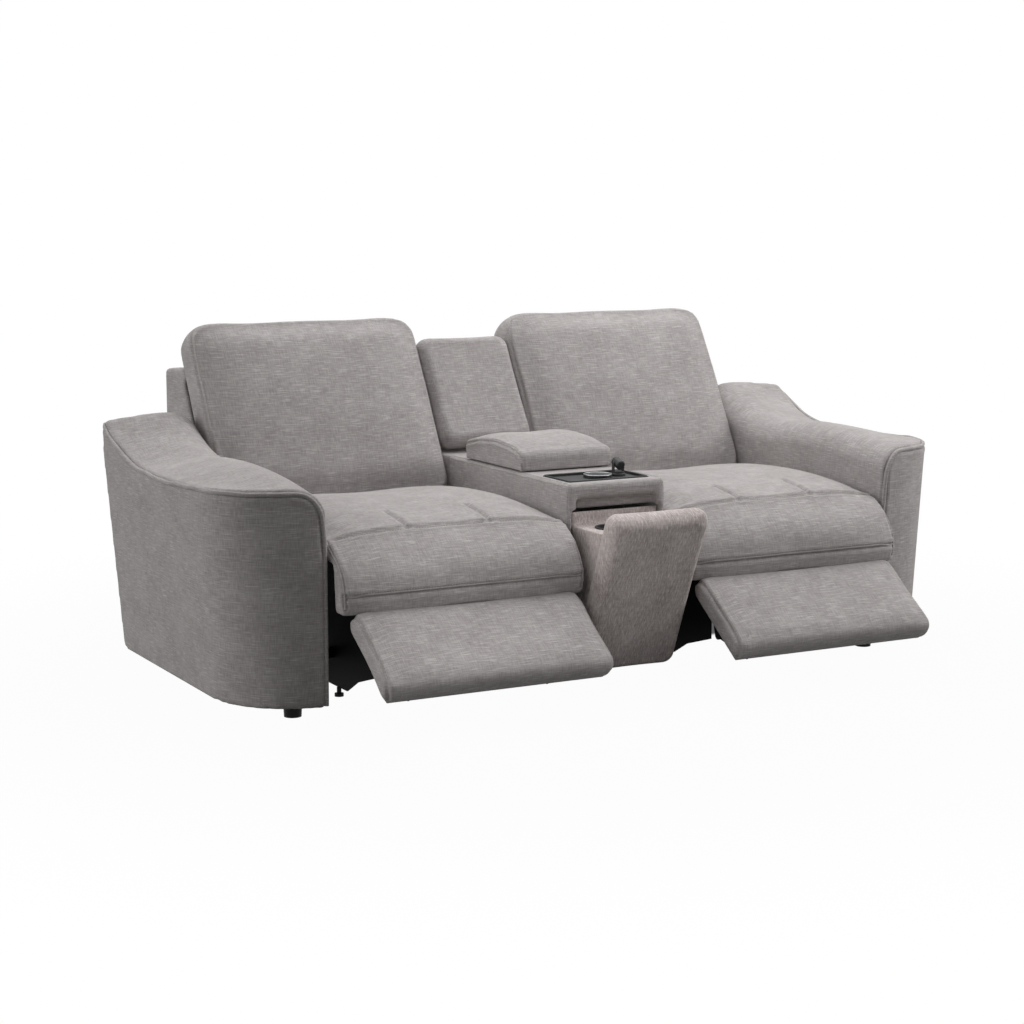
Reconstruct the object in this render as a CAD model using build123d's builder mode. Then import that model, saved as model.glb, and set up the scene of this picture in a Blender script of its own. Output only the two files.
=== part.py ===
import os
from math import atan2, cos, degrees, hypot, radians, sin

from build123d import *

# Driving dimensions in millimetres. X runs along the sofa, its front faces -Y and Z is up from the floor.
seat_pitch = 495
opening_half = 347
running_gap = 0.3
pin_clearance = 0.06

# Arms
arm_front = -455
arm_rear = 465
arm_width = 214
arm_flare = 44
arm_edge = (680, 594, 572, 573, 580)
arm_crest = (696, 625, 604, 612, 586)
arm_inner_drop = 58
arm_corner = 213
arm_rear_taper = 15
dip_y = 120
arm_padding = 40
arm_frame_board = 15
arm_frame_post = 40
arm_frame_height = 430

# Feet
foot_height = 48
foot_radius = 25
foot_inset = 127
glide_radius = 12
glide_height = 24

# Seats
seat_side_gap = 11
seat_rear = 204
seat_deck = 403
seat_crown = 486
seat_edge_drop = 30
crown_y = -140
seam_y = -425
seam_z = 462
slope_y = -500
slope_z = 406
lip_y = -538
lip_z = 328
lip_band = 36
lip_back = -474
tuck_offset = 118
tuck_length = 95
frame_height = 48
frame_board = 30
webbing_thickness = 2

# Backs
back_half = 344
back_lean = 29
back_foot_y = 216
back_foot_z = 440
back_length = 572
back_thickness = 107
back_crown = 24
back_corner = 58
back_board = 22
back_frame_length = 436
back_frame_drop = 84
shell_wall = 20
shell_half = 344
shell_rear = 686
roof_depth = 35
shell_bottom = 300
recline_y = 235
recline_z = 335
recline_lever = 95

# Mechanism
plate_offset = 196
plate_thickness = 4
plate_rear = 305
plate_toe = 65
plate_toe_z = 96
lane_gap = 0.6
link_thickness = 4.5
link_width = 26
link_length = 171
link_lean = 15.2
pin_radius = 5
rivet_radius = 8
rivet_head = 3
rear_pivot_y = -305
pivot_pitch = 90
pivot_z = 325
tube_side = 25
tube_wall = 2
tube_z = 110
front_tube_y = -150
rear_tube_y = 275
drive_share = 0.6
drive_radius = 10
rod_lever = 50

# Footrests
rest_half = 315
rest_length = 245
rest_padding = 52
rest_board = 13
rest_slope = 36
rest_centre_y = -525
rest_centre_z = 298
rest_edge_radius = 19.4
rest_corner = 26

# Motors
motor_offset = 60
rail_side = 20
rail_z = 150
motor_radius = 26
carriage_length = 44
carriage_wall = 8
ear_thickness = 5
slot_play = 5

# Console
console_half = seat_pitch - opening_half
console_front = -423
console_top = 545
console_rear = 262
jamb = 26
bay_wall = 13
bay_rear = -235
bay_floor = 62
rail_under = 504
header_under = 476
header_setback = 28
tray_front = -386
tray_rear = -238
tray_half = 121
tray_depth = 8
console_back_foot = 262
console_back_top = 836
console_foot_setback = 440
console_back_pad = 70

# Lid and storage box
lid_front = -164
lid_rear = 170
lid_half = 141
lid_height = 80
lid_edge = 46
lid_nose = 28
lid_gap = 3
tub_half = 112
tub_front = -120
tub_rear = 140
tub_depth = 260
tub_wall = 3
hinge_radius = 6
hinge_pin = 2.5

# Bin
bin_half = 143
bin_front_height = 456
bin_front_low = 86
bin_front_thickness = 60
bin_tilt = 23
bin_pivot_y = -404
bin_pivot_z = 84
bin_box_half = 130
bin_deck_z = 436
bin_deck_rear = -400
bin_lip = 12
bin_lip_height = 34
cup_radius = 41
cup_depth = 72
cup_wall = 3

# Tray fittings
disc_radius = 38
disc_height = 9
disc_y = -308
disc_x = 8
lamp_x = 76
lamp_y = -300
lamp_radius = 20
lamp_height = 7
head_radius = 13
head_length = 32
head_clearance = 1

# Switches
switch_y = -330
switch_z = 505
switch_length = 92
switch_height = 36
switch_depth = 8
button_length = 30
button_height = 20
button_proud = 2.2
button_gap = 0.4
button_pitch = 40

os.makedirs("parts", exist_ok=True)
pieces = []


def keep(solid, label, x=0):
    piece = solid.moved(Location((x, 0, 0)))
    piece.label = label
    pieces.append(piece)


def keep_pair(solid, label):
    keep(solid, f"left_{label}", -seat_pitch)
    keep(solid, f"right_{label}", seat_pitch)


def turned(point, angle):
    y, z = point
    return (y * cos(angle) - z * sin(angle), y * sin(angle) + z * cos(angle))


def shifted(point, move):
    return (point[0] + move[0], point[1] + move[1])


def prism(points, x_low, x_high):
    with BuildPart() as piece:
        with BuildSketch(Plane.YZ.offset(x_low)):
            with BuildLine():
                Polyline(*points, close=True)
            make_face()
        extrude(amount=x_high - x_low)
    return piece.part


def block(x_span, y_span, z_span):
    corners = [(y_span[0], z_span[0]), (y_span[1], z_span[0]), (y_span[1], z_span[1]), (y_span[0], z_span[1])]
    return prism(corners, x_span[0], x_span[1])


def group(solids):
    with BuildPart() as piece:
        for solid in solids:
            add(solid)
    return piece.part


def cushion_outline(plane, width, length, corner, draw):
    # Four sides drawn in between four round corners, wound the same way round on every level.
    w, l = width / 2, length / 2
    near = corner * (1 - cos(radians(45)))
    with BuildSketch(plane) as outline:
        with BuildLine():
            ThreePointArc((w, corner - l), (w - draw, 0), (w, l - corner))
            ThreePointArc((w, l - corner), (w - near, l - near), (w - corner, l))
            ThreePointArc((w - corner, l), (0, l - draw), (corner - w, l))
            ThreePointArc((corner - w, l), (near - w, l - near), (-w, l - corner))
            ThreePointArc((-w, l - corner), (draw - w, 0), (-w, corner - l))
            ThreePointArc((-w, corner - l), (near - w, near - l), (corner - w, -l))
            ThreePointArc((corner - w, -l), (0, draw - l), (w - corner, -l))
            ThreePointArc((w - corner, -l), (w - near, near - l), (w, corner - l))
        make_face()
    return outline.sketch


def cushion(plane, width, length, corner, levels, draw=4):
    # Levels are pairs of height over the plane and inset of the outline.
    outlines = [
        cushion_outline(plane.offset(height), width - 2 * inset, length - 2 * inset, corner, draw)
        for height, inset in levels
    ]
    with BuildPart() as piece:
        loft(outlines)
    return piece.part


seat_half = opening_half - seat_side_gap

# Arm: sections across X, each a side profile between the piped edge line and the padded crest line,
# leaning out towards the outside.
arm_inner = seat_pitch + opening_half
flare_angle = degrees(atan2(arm_flare, arm_edge[2] - foot_height))
rear_round = 25
nose = 22


def arm_section(across, lean, setback, padding, lower):
    # Heights at the rear, behind the dip, in the dip, on the front swell and at the front edge.
    tilt = radians(flare_angle * lean)
    foot_x = arm_inner + arm_width * across
    front = arm_front + setback
    rear = arm_rear - arm_rear_taper * across
    heights = [
        (edge + padding * (crest - edge) - lower - foot_height) / cos(tilt)
        for edge, crest in zip(arm_edge, arm_crest)
    ]
    rear_top, slope_top, dip_top, swell_top, front_top = heights
    swell_y = (front + nose + dip_y) / 2
    side = Plane(origin=(foot_x, 0, foot_height), x_dir=(0, 1, 0), z_dir=(cos(tilt), 0, -sin(tilt)))
    with BuildSketch(side) as section:
        with BuildLine():
            Line((front, 0), (rear - rear_round, 0))
            ThreePointArc((rear - rear_round, 0), (rear - 8, 8), (rear, rear_round))
            Line((rear, rear_round), (rear, rear_top - rear_round))
            ThreePointArc((rear, rear_top - rear_round), (rear - 7, rear_top - 7), (rear - rear_round, rear_top))
            ThreePointArc((rear - rear_round, rear_top), (dip_y + 150, slope_top), (dip_y, dip_top))
            ThreePointArc((dip_y, dip_top), (swell_y, swell_top), (front + nose, front_top))
            ThreePointArc((front + nose, front_top), (front + 6, front_top - 8), (front, front_top - nose))
            Line((front, front_top - nose), (front, 0))
        make_face()
    return section.sketch


def corner_setback(across):
    # How far the round front corner has drawn back at a share of the arm's width.
    inside = max(0, arm_corner - arm_width * (1 - across))
    return arm_corner - (arm_corner**2 - inside**2) ** 0.5


arm_shares = [
    (0, 0, 1, arm_inner_drop),
    (0.1, 0, 1, arm_inner_drop * 0.34),
    (0.34, 0.2, 1, 0),
    (0.58, 0.5, 0.75, 0),
    (0.78, 0.8, 0.4, 0),
    (0.93, 0.95, 0.12, 0),
    (1, 1, 0, 0),
]
arm_sections = [
    arm_section(across, lean, corner_setback(across), padding, lower)
    for across, lean, padding, lower in arm_shares
]
with BuildPart() as arm:
    loft(arm_sections)
    pocket_x = (arm_inner + arm_padding, arm_inner + arm_width - 1.5 * arm_padding)
    pocket_y = (arm_front + 3.5 * arm_padding, arm_rear - 1.5 * arm_padding)
    pocket_z = (foot_height, foot_height + arm_frame_height)
    add(block(pocket_x, pocket_y, pocket_z), mode=Mode.SUBTRACT)
keep(arm.part, "right_arm")
keep(mirror(arm.part, about=Plane.YZ), "left_arm")

# Timber frame in the arm's pocket: two boards, a front and a rear post and a foot rail between them.
inner_x = (pocket_x[0] + running_gap, pocket_x[0] + running_gap + arm_frame_board)
outer_x = (pocket_x[1] - running_gap - arm_frame_board, pocket_x[1] - running_gap)
frame_y = (pocket_y[0] + running_gap, pocket_y[1] - running_gap)
frame_z = (foot_height, pocket_z[1] - running_gap)
post_y = (frame_y[0] + arm_frame_post, frame_y[1] - arm_frame_post)
between_x = (inner_x[1], outer_x[0])
arm_frame = group([
    block(inner_x, frame_y, frame_z),
    block(outer_x, frame_y, frame_z),
    block(between_x, (frame_y[0], post_y[0]), frame_z),
    block(between_x, (post_y[1], frame_y[1]), frame_z),
    block(between_x, post_y, (frame_z[0], frame_z[0] + arm_frame_post)),
])
keep(arm_frame, "right_arm_frame")
keep(mirror(arm_frame, about=Plane.YZ), "left_arm_frame")

# Turned feet under the arms and the console.
foot_places = [
    (sign * x, y)
    for sign in (-1, 1)
    for x, y in (
        (arm_inner + arm_padding, arm_front + foot_inset),
        (arm_inner + arm_padding, arm_rear - foot_inset),
        (console_half - 2 * foot_radius, console_front + console_foot_setback),
        (console_half - 2 * foot_radius, console_rear - foot_radius),
    )
]
with BuildPart() as feet:
    for x, y in foot_places:
        with BuildSketch(Plane((x, y, 0))):
            Circle(foot_radius * 0.88)
        with BuildSketch(Plane((x, y, foot_height))):
            Circle(foot_radius)
        loft()
keep(feet.part, "sofa_feet")

# Footrest linkage. Every link keeps parallel to one arm vector, so the pad turns about a centre in the air
# at the front lip of the seat.
lean = radians(link_lean)
arm_vector = (-link_length * sin(lean), -link_length * cos(lean))
rear_pivot = (rear_pivot_y, pivot_z)
front_pivot = (rear_pivot_y - pivot_pitch, pivot_z)
rear_end = shifted(rear_pivot, arm_vector)
front_end = shifted(front_pivot, arm_vector)
bracket_pin = shifted((rest_centre_y, rest_centre_z), arm_vector)
lever_vector = (arm_vector[0] * rod_lever / link_length, arm_vector[1] * rod_lever / link_length)
rod_front = shifted(bracket_pin, lever_vector)
rod_rear = shifted(front_end, lever_vector)
drive_pin = shifted(rear_pivot, (arm_vector[0] * drive_share, arm_vector[1] * drive_share))

arm_lane = (plate_offset - lane_gap - link_thickness, plate_offset - lane_gap)
rod_lane = (arm_lane[0] - lane_gap - link_thickness, arm_lane[0] - lane_gap)


def bar(points, width, lane):
    # A flat bar with round ends along a run of pin places.
    with BuildPart() as piece:
        with BuildSketch(Plane.YZ.offset(lane[0])):
            for start, end in zip(points, points[1:]):
                with Locations(((start[0] + end[0]) / 2, (start[1] + end[1]) / 2)):
                    SlotCenterToCenter(
                        hypot(end[0] - start[0], end[1] - start[1]),
                        width,
                        rotation=degrees(atan2(end[1] - start[1], end[0] - start[0])),
                    )
        extrude(amount=lane[1] - lane[0])
    return piece.part


def discs(points, radius, x_low, x_high):
    with BuildPart() as piece:
        with BuildSketch(Plane.YZ.offset(x_low)):
            with Locations(*points):
                Circle(radius)
        extrude(amount=x_high - x_low)
    return piece.part


def outward_pins(points):
    # Pins from the link through the side plate, with a rivet head outside it.
    head = plate_offset + plate_thickness + lane_gap
    return [
        discs(points, pin_radius, arm_lane[1], head),
        discs(points, rivet_radius, head, head + rivet_head),
    ]


def inward_pins(points):
    # Pins from the link through the inner lane, with a rivet head inside it.
    head = rod_lane[0] - lane_gap
    return [
        discs(points, pin_radius, head, arm_lane[0]),
        discs(points, rivet_radius, head - rivet_head, head),
    ]


def both_sides(solids, holes=()):
    with BuildPart() as piece:
        for solid in solids:
            add(solid)
        for hole in holes:
            add(hole, mode=Mode.SUBTRACT)
        mirror(about=Plane.YZ)
    return piece.part


pin_hole = pin_radius + pin_clearance
rear_links = both_sides(
    [bar([rear_pivot, rear_end], link_width, arm_lane)] + outward_pins([rear_pivot]) + inward_pins([rear_end])
)
with BuildPart() as drive_tube:
    with BuildSketch(Plane.YZ.offset(-arm_lane[0])):
        with Locations(drive_pin):
            Circle(drive_radius)
            Circle(drive_radius - tube_wall, mode=Mode.SUBTRACT)
    extrude(amount=2 * arm_lane[0])
keep_pair(Compound(list(rear_links.solids()) + list(drive_tube.part.solids())), "rear_links")

front_links = both_sides(
    [bar([front_pivot, front_end, rod_rear], link_width, arm_lane)]
    + outward_pins([front_pivot])
    + inward_pins([front_end, rod_rear])
)
keep_pair(front_links, "front_links")

carrier_links = both_sides(
    [bar([rear_end, front_end, bracket_pin], link_width - 2, rod_lane)],
    [discs([rear_end, front_end, bracket_pin], pin_hole, rod_lane[0] - 1, rod_lane[1] + 1)],
)
keep_pair(carrier_links, "carrier_links")

control_rods = both_sides(
    [bar([rod_rear, rod_front], link_width - 6, rod_lane)],
    [discs([rod_rear, rod_front], pin_hole, rod_lane[0] - 1, rod_lane[1] + 1)],
)
keep_pair(control_rods, "control_rods")

# Footrest: pad and board lie along the slope, from the edge nearest the seat.
slope = radians(rest_slope)
rest_along = (-cos(slope), -sin(slope))
rest_up = (-sin(slope), cos(slope))
edge_turn = radians(90 - rest_slope)
edge_reach = (-rest_edge_radius * sin(edge_turn), -rest_edge_radius * cos(edge_turn))
near_edge = shifted((rest_centre_y, rest_centre_z), edge_reach)


def on_rest(along, under):
    return (
        near_edge[0] + along * rest_along[0] - under * rest_up[0],
        near_edge[1] + along * rest_along[1] - under * rest_up[1],
    )


pad_bottom = on_rest(rest_length / 2, rest_padding)
pad_plane = Plane(
    origin=(0, pad_bottom[0], pad_bottom[1]),
    x_dir=(1, 0, 0),
    z_dir=(0, rest_up[0], rest_up[1]),
)
pad_levels = [(0, 6), (12, 0), (rest_padding - 16, 0), (rest_padding - 4, 5), (rest_padding, 15)]
rest_cushion = cushion(pad_plane, 2 * rest_half, rest_length, rest_corner, pad_levels)
keep_pair(rest_cushion, "footrest_cushion")

board_inset = 14
board_top = rest_padding + running_gap
board_under = board_top + rest_board
board_profile = [
    on_rest(board_inset, board_top),
    on_rest(rest_length - board_inset, board_top),
    on_rest(rest_length - board_inset, board_under),
    on_rest(board_inset, board_under),
]
keep_pair(prism(board_profile, board_inset - rest_half, rest_half - board_inset), "footrest_board")

bracket_flange = 3
bracket_reach = 36
flange_under = board_under + bracket_flange


def along_under(point):
    dy, dz = point[0] - near_edge[0], point[1] - near_edge[1]
    return (dy * rest_along[0] + dz * rest_along[1], -dy * rest_up[0] - dz * rest_up[1])


pin_along, pin_under = along_under(bracket_pin)
rod_along, rod_under = along_under(rod_front)
flange_profile = [
    on_rest(pin_along - 70, board_under),
    on_rest(rod_along + 45, board_under),
    on_rest(rod_along + 45, flange_under),
    on_rest(pin_along - 70, flange_under),
]
ear_profile = [
    on_rest(pin_along - 60, board_under),
    on_rest(rod_along + 35, board_under),
    on_rest(rod_along + 14, rod_under + 6),
    on_rest(rod_along, rod_under + 13),
    on_rest(rod_along - 14, rod_under + 9),
    on_rest(pin_along - 16, pin_under + 10),
]
footrest_brackets = both_sides(
    [
        prism(flange_profile, arm_lane[0] - bracket_reach, arm_lane[1]),
        prism(ear_profile, arm_lane[0], arm_lane[1]),
    ]
    + inward_pins([bracket_pin, rod_front])
)
keep_pair(footrest_brackets, "footrest_brackets")

# Side plates of the fixed mechanism base, with pin holes and seats for the cross tubes.
back_pivot = (recline_y, recline_z)
plate_top = seat_deck - webbing_thickness - frame_height - 3 * running_gap
plate_front = front_pivot[0] - 30
plate_profile = [
    (rear_pivot_y + plate_toe, glide_height),
    (plate_rear, glide_height),
    (plate_rear, tube_z + 25),
    (recline_y + 30, tube_z + 50),
    (recline_y + 30, recline_z + 27),
    (recline_y - 26, recline_z + 27),
    (recline_y - 26, plate_top),
    (plate_front, plate_top),
    (plate_front, plate_toe_z),
    (rear_pivot_y, (glide_height + plate_toe_z) / 2),
]
tube_hole = tube_side / 2 + running_gap / 3
tube_places = [(front_tube_y, tube_z), (rear_tube_y, tube_z)]
with BuildPart() as side_plates:
    add(prism(plate_profile, plate_offset, plate_offset + plate_thickness))
    with BuildSketch(Plane.YZ.offset(plate_offset)):
        with Locations(rear_pivot, front_pivot, back_pivot):
            Circle(pin_hole)
        with Locations(*tube_places):
            Rectangle(2 * tube_hole, 2 * tube_hole)
    extrude(amount=plate_thickness, mode=Mode.SUBTRACT)
    mirror(about=Plane.YZ)
seat_places = [Location((x, 0, 0)) for x in (-seat_pitch, seat_pitch)]
base_solids = [s.moved(place) for place in seat_places for s in side_plates.part.solids()]
keep(Compound(base_solids), "base_side_plates")

# Square cross tubes carry the base between the arm and the console.
with BuildPart() as cross_tubes:
    reach = opening_half - running_gap
    with BuildSketch(Plane.YZ.offset(-reach)):
        with Locations(*tube_places):
            Rectangle(tube_side, tube_side)
            Rectangle(tube_side - 2 * tube_wall, tube_side - 2 * tube_wall, mode=Mode.SUBTRACT)
    extrude(amount=2 * reach)
tube_solids = [s.moved(place) for place in seat_places for s in cross_tubes.part.solids()]
keep(Compound(tube_solids), "base_cross_tubes")

# Round glides under the side plates.
with BuildPart() as glides:
    for seat_x in (-seat_pitch, seat_pitch):
        for side in (-1, 1):
            for y in (front_tube_y - 36, rear_tube_y - 10):
                with BuildSketch(Plane((seat_x + side * (plate_offset + plate_thickness / 2), y, 0))):
                    Circle(glide_radius)
                extrude(amount=glide_height / 3)
                plate_middle = seat_x + side * (plate_offset + plate_thickness / 2)
                with BuildSketch(Plane((plate_middle, y, glide_height / 3))):
                    Circle(glide_radius / 2)
                extrude(amount=glide_height * 2 / 3)
keep(glides.part, "base_glides")

# Timber seat frame on the side plates, with elastic webbing stretched over it.
frame_bottom = plate_top + running_gap
frame_top = frame_bottom + frame_height
rail_front = lip_back + 4
side_rail = (plate_offset - 12, plate_offset + 20)
end_half = seat_half - 26
rail_run = (rail_front + frame_board + running_gap, seat_rear - frame_board - 4 - running_gap)
seat_frame = group([
    block((-end_half, end_half), (rail_front, rail_front + frame_board), (frame_bottom, frame_top)),
    block((-end_half, end_half), (seat_rear - frame_board - 4, seat_rear - 4), (frame_bottom, frame_top)),
    block(side_rail, rail_run, (frame_bottom, frame_top)),
    block((-side_rail[1], -side_rail[0]), rail_run, (frame_bottom, frame_top)),
])
keep_pair(seat_frame, "seat_frame")

strap_width = 70
strap_pitch = 120
webbing_bottom = frame_top + running_gap
strap_z = (webbing_bottom, webbing_bottom + webbing_thickness)
webbing = group([
    block((x - strap_width / 2, x + strap_width / 2), (rail_front, seat_rear - 4), strap_z)
    for x in (-2 * strap_pitch, -strap_pitch, 0, strap_pitch, 2 * strap_pitch)
])
keep_pair(webbing, "seat_webbing")


# Seat cushion: side profiles across X, low and drawn in at the edges, full in the middle.
def seat_section(share, drop, draw):
    back_y = seat_rear - draw / 2
    back_top = seat_crown - 34 - drop
    front_top = seam_z - 0.4 * drop
    with BuildSketch(Plane.YZ.offset(share * seat_half)) as section:
        with BuildLine():
            Line((lip_back, seat_deck), (back_y, seat_deck))
            Line((back_y, seat_deck), (back_y, back_top))
            ThreePointArc((back_y, back_top), (crown_y, seat_crown - drop), (seam_y, front_top))
            ThreePointArc((seam_y, front_top), (slope_y + draw, slope_z), (lip_y + draw, lip_z))
            Line((lip_y + draw, lip_z), (lip_y + 6 + draw, lip_z - lip_band))
            Line((lip_y + 6 + draw, lip_z - lip_band), (lip_back, lip_z - lip_band))
            Line((lip_back, lip_z - lip_band), (lip_back, seat_deck))
        make_face()
    return section.sketch


seat_sections = [
    seat_section(-1, seat_edge_drop, 10),
    seat_section(-0.86, seat_edge_drop * 0.3, 2),
    seat_section(0, 0, 0),
    seat_section(0.86, seat_edge_drop * 0.3, 2),
    seat_section(1, seat_edge_drop, 10),
]
with BuildPart() as seat_cushion:
    loft(seat_sections)
    # The cross seam, and two short tucks behind it.
    seam_depth = 6
    seam = [(seam_y - 7, seam_z + 12), (seam_y + 7, seam_z + 12), (seam_y, seam_z - seam_depth)]
    add(prism(seam, -seat_half, seat_half), mode=Mode.SUBTRACT)
    tuck_rise = atan2(seat_crown - seam_z, crown_y - seam_y)
    for x in (-tuck_offset, tuck_offset):
        tuck = Plane(origin=(x, seam_y, seam_z), x_dir=(1, 0, 0), z_dir=(0, cos(tuck_rise), sin(tuck_rise)))
        with BuildSketch(tuck):
            with BuildLine():
                Polyline((-6, -14), (6, -14), (0, seam_depth), close=True)
            make_face()
        extrude(amount=tuck_length, mode=Mode.SUBTRACT)
keep_pair(seat_cushion.part, "seat_cushion")

# Back: everything is placed along its lean, from the foot of the cushion's front.
back_angle = radians(back_lean)


def on_back(up, behind):
    return (
        back_foot_y + up * sin(back_angle) + behind * cos(back_angle),
        back_foot_z + up * cos(back_angle) - behind * sin(back_angle),
    )




def back_section(share, trim, edge, crown):
    # A side profile of the cushion: trim shortens it at both ends, edge sets its front back from the full face.
    rear = back_thickness
    top = back_length - trim
    places = [
        (trim + 8, rear),
        (top - 8, rear),
        (top, rear / 2 + edge / 2),
        (top - 16, edge),
        (back_length / 2, -crown),
        (trim + 16, edge),
        (trim, rear / 2 + edge / 2),
    ]
    low_rear, high_rear, high, high_front, swell, low_front, low = [on_back(*place) for place in places]
    with BuildSketch(Plane.YZ.offset(share * back_half)) as section:
        with BuildLine():
            Line(low_rear, high_rear)
            ThreePointArc(high_rear, high, high_front)
            ThreePointArc(high_front, swell, low_front)
            ThreePointArc(low_front, low, low_rear)
        make_face()
    return section.sketch


back_outline = [
    (0, 0, 4, back_crown),
    (0.6, 0, 5, back_crown * 0.6),
    (0.83, 1, 6, back_crown * 0.2),
    (0.94, back_corner * 0.26, 8, -2),
    (1, back_corner, 18, -15),
]
back_sections = [back_section(-share, *rest) for share, *rest in reversed(back_outline[1:])]
back_sections += [back_section(*outline) for outline in back_outline]
with BuildPart() as back_cushion:
    loft(back_sections)
keep_pair(back_cushion.part, "back_cushion")

board_near = back_thickness + running_gap
board_far = board_near + back_board
post_x = (arm_lane[0] - running_gap - 62, arm_lane[0] - running_gap)


def back_board_run(low, high, x_low, x_high):
    corners = [(low, board_near), (high, board_near), (high, board_far), (low, board_far)]
    profile = [on_back(along, into) for along, into in corners]
    return prism(profile, x_low, x_high)


rail_half = shell_half - shell_wall - running_gap
frame_rails = [0, back_frame_length / 2 - 35, back_frame_length - 70]
between = post_x[0] - running_gap
beside = post_x[1] + running_gap
back_frame = group(
    [back_board_run(-back_frame_drop, back_frame_length, sign * post_x[0], sign * post_x[1]) for sign in (-1, 1)]
    + [back_board_run(low, low + 70, -between, between) for low in frame_rails]
    + [back_board_run(low, low + 70, sign * beside, sign * rail_half) for low in frame_rails for sign in (-1, 1)]
)
keep_pair(back_frame, "back_frame")

shell_near = board_far + running_gap
lap = back_frame_length + running_gap
roof_up = lap + roof_depth
shell_top = on_back(roof_up, back_thickness + running_gap)[1]
bottom_up = (shell_bottom - back_foot_z + shell_near * sin(back_angle)) / cos(back_angle)
shell_profile = [
    on_back(bottom_up, shell_near),
    on_back(lap, shell_near),
    on_back(lap, back_thickness + running_gap),
    on_back(roof_up, back_thickness + running_gap),
    (shell_rear, shell_top - 10),
    (shell_rear, shell_bottom),
]
shell_inner = shell_half - shell_wall
roof_rear = shell_rear - shell_wall - running_gap
roof = [
    on_back(lap, back_thickness + running_gap),
    on_back(roof_up, back_thickness + running_gap),
    (roof_rear, shell_top - 8),
    (roof_rear, on_back(lap, back_thickness + running_gap)[1]),
]
rear_wall = [
    (shell_rear - shell_wall, shell_bottom),
    (shell_rear, shell_bottom),
    (shell_rear, shell_top - 10),
    (shell_rear - shell_wall, shell_top - 8),
]
roof_x = shell_inner - running_gap
back_shell = group([
    prism(shell_profile, shell_inner, shell_half),
    prism(shell_profile, -shell_half, -shell_inner),
    prism(roof, -roof_x, roof_x),
    prism(rear_wall, -roof_x, roof_x),
])
keep_pair(back_shell, "back_shell")

lever_end = (recline_y, recline_z - recline_lever)
bracket_profile = [
    (lever_end[0] - 17, lever_end[1] - 17),
    (lever_end[0] + 17, lever_end[1] - 17),
    (recline_y + 24, recline_z - 30),
    on_back(-back_frame_drop + 10, board_far - 2),
    on_back(-running_gap, board_far - 2),
    on_back(-running_gap, board_near + 5),
    (recline_y - 20, recline_z + 24),
    (recline_y - 22, recline_z - 10),
]
back_brackets = both_sides([prism(bracket_profile, arm_lane[0], arm_lane[1])] + outward_pins([back_pivot]))
with BuildPart() as lever_tube:
    with BuildSketch(Plane.YZ.offset(-arm_lane[0])):
        with Locations(lever_end):
            Circle(drive_radius)
            Circle(drive_radius - tube_wall, mode=Mode.SUBTRACT)
    extrude(amount=2 * arm_lane[0])
keep_pair(Compound(list(back_brackets.solids()) + list(lever_tube.part.solids())), "back_brackets")

# Spindle motors: a guide rail, a gear housing and a motor can, seated on the cross tubes by saddles.
rail_half_side = rail_side / 2
tube_top = tube_z + tube_side / 2
rail_bottom = rail_z - rail_half_side


def spindle_motor(x, rail_start, gear_start, gear_end, can_end, saddle_y):
    low, high = sorted((gear_start, gear_end))
    with BuildPart() as piece:
        add(block((x - 34, x + 34), (low, high), (rail_z - 26, rail_z + 36)))
        fillet(piece.edges().filter_by(Axis.Y), 8)
        rail_z_span = (rail_bottom, rail_bottom + rail_side)
        add(block((x - rail_half_side, x + rail_half_side), sorted((rail_start, gear_start)), rail_z_span))
        add(block((x - 12, x + 12), (saddle_y - 12, saddle_y + 12), (tube_top, rail_bottom)))
        with BuildSketch(Plane.XZ.offset(-min(gear_end, can_end))):
            with Locations((x, rail_z)):
                Circle(motor_radius)
        extrude(amount=-abs(can_end - gear_end))
    return piece.part


footrest_rail_end = drive_pin[0] - 76
footrest_motor = spindle_motor(-motor_offset, footrest_rail_end, 50, 130, rear_tube_y + 10, front_tube_y)
back_motor = spindle_motor(motor_offset, plate_rear - 5, 20, -70, front_tube_y - 10, rear_tube_y)
keep_pair(Compound([footrest_motor, back_motor]), "motors")


# Carriages slide on the rails, and their slotted ears push the cross tubes of the links and the back.
def carriage(x, y, tube_low, tube_high):
    side = rail_half_side + carriage_wall
    ear_top = tube_high + drive_radius + 16
    slot_low = tube_low - drive_radius - 2
    slot_high = tube_high + drive_radius + 2
    slot_width = 2 * (drive_radius + slot_play)
    hole = rail_half_side + running_gap
    y_span = (y - carriage_length / 2, y + carriage_length / 2)
    with BuildPart() as piece:
        for ear in (-side - ear_thickness, side):
            add(block((x + ear, x + ear + ear_thickness), y_span, (rail_bottom - 3, ear_top)))
        with BuildSketch(Plane.YZ.offset(x - side - ear_thickness)):
            with Locations((y, (slot_low + slot_high) / 2)):
                SlotOverall(slot_high - slot_low + slot_play, slot_width, rotation=90)
        extrude(amount=2 * (side + ear_thickness), mode=Mode.SUBTRACT)
        add(block((x - side, x + side), y_span, (rail_bottom - 3, rail_z + side)))
        rail_run = (y - carriage_length, y + carriage_length)
        add(block((x - hole, x + hole), rail_run, (rail_z - hole, rail_z + hole)), mode=Mode.SUBTRACT)
    return piece.part


swing_low = pivot_z - link_length * drive_share
swing_high = pivot_z - link_length * drive_share * cos(radians(46.2))
keep_pair(carriage(-motor_offset, drive_pin[0], swing_low, swing_high), "footrest_carriage")
lever_high = recline_z - recline_lever * cos(radians(30))
keep_pair(carriage(motor_offset, lever_end[0], lever_end[1], lever_high), "back_carriage")

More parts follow.
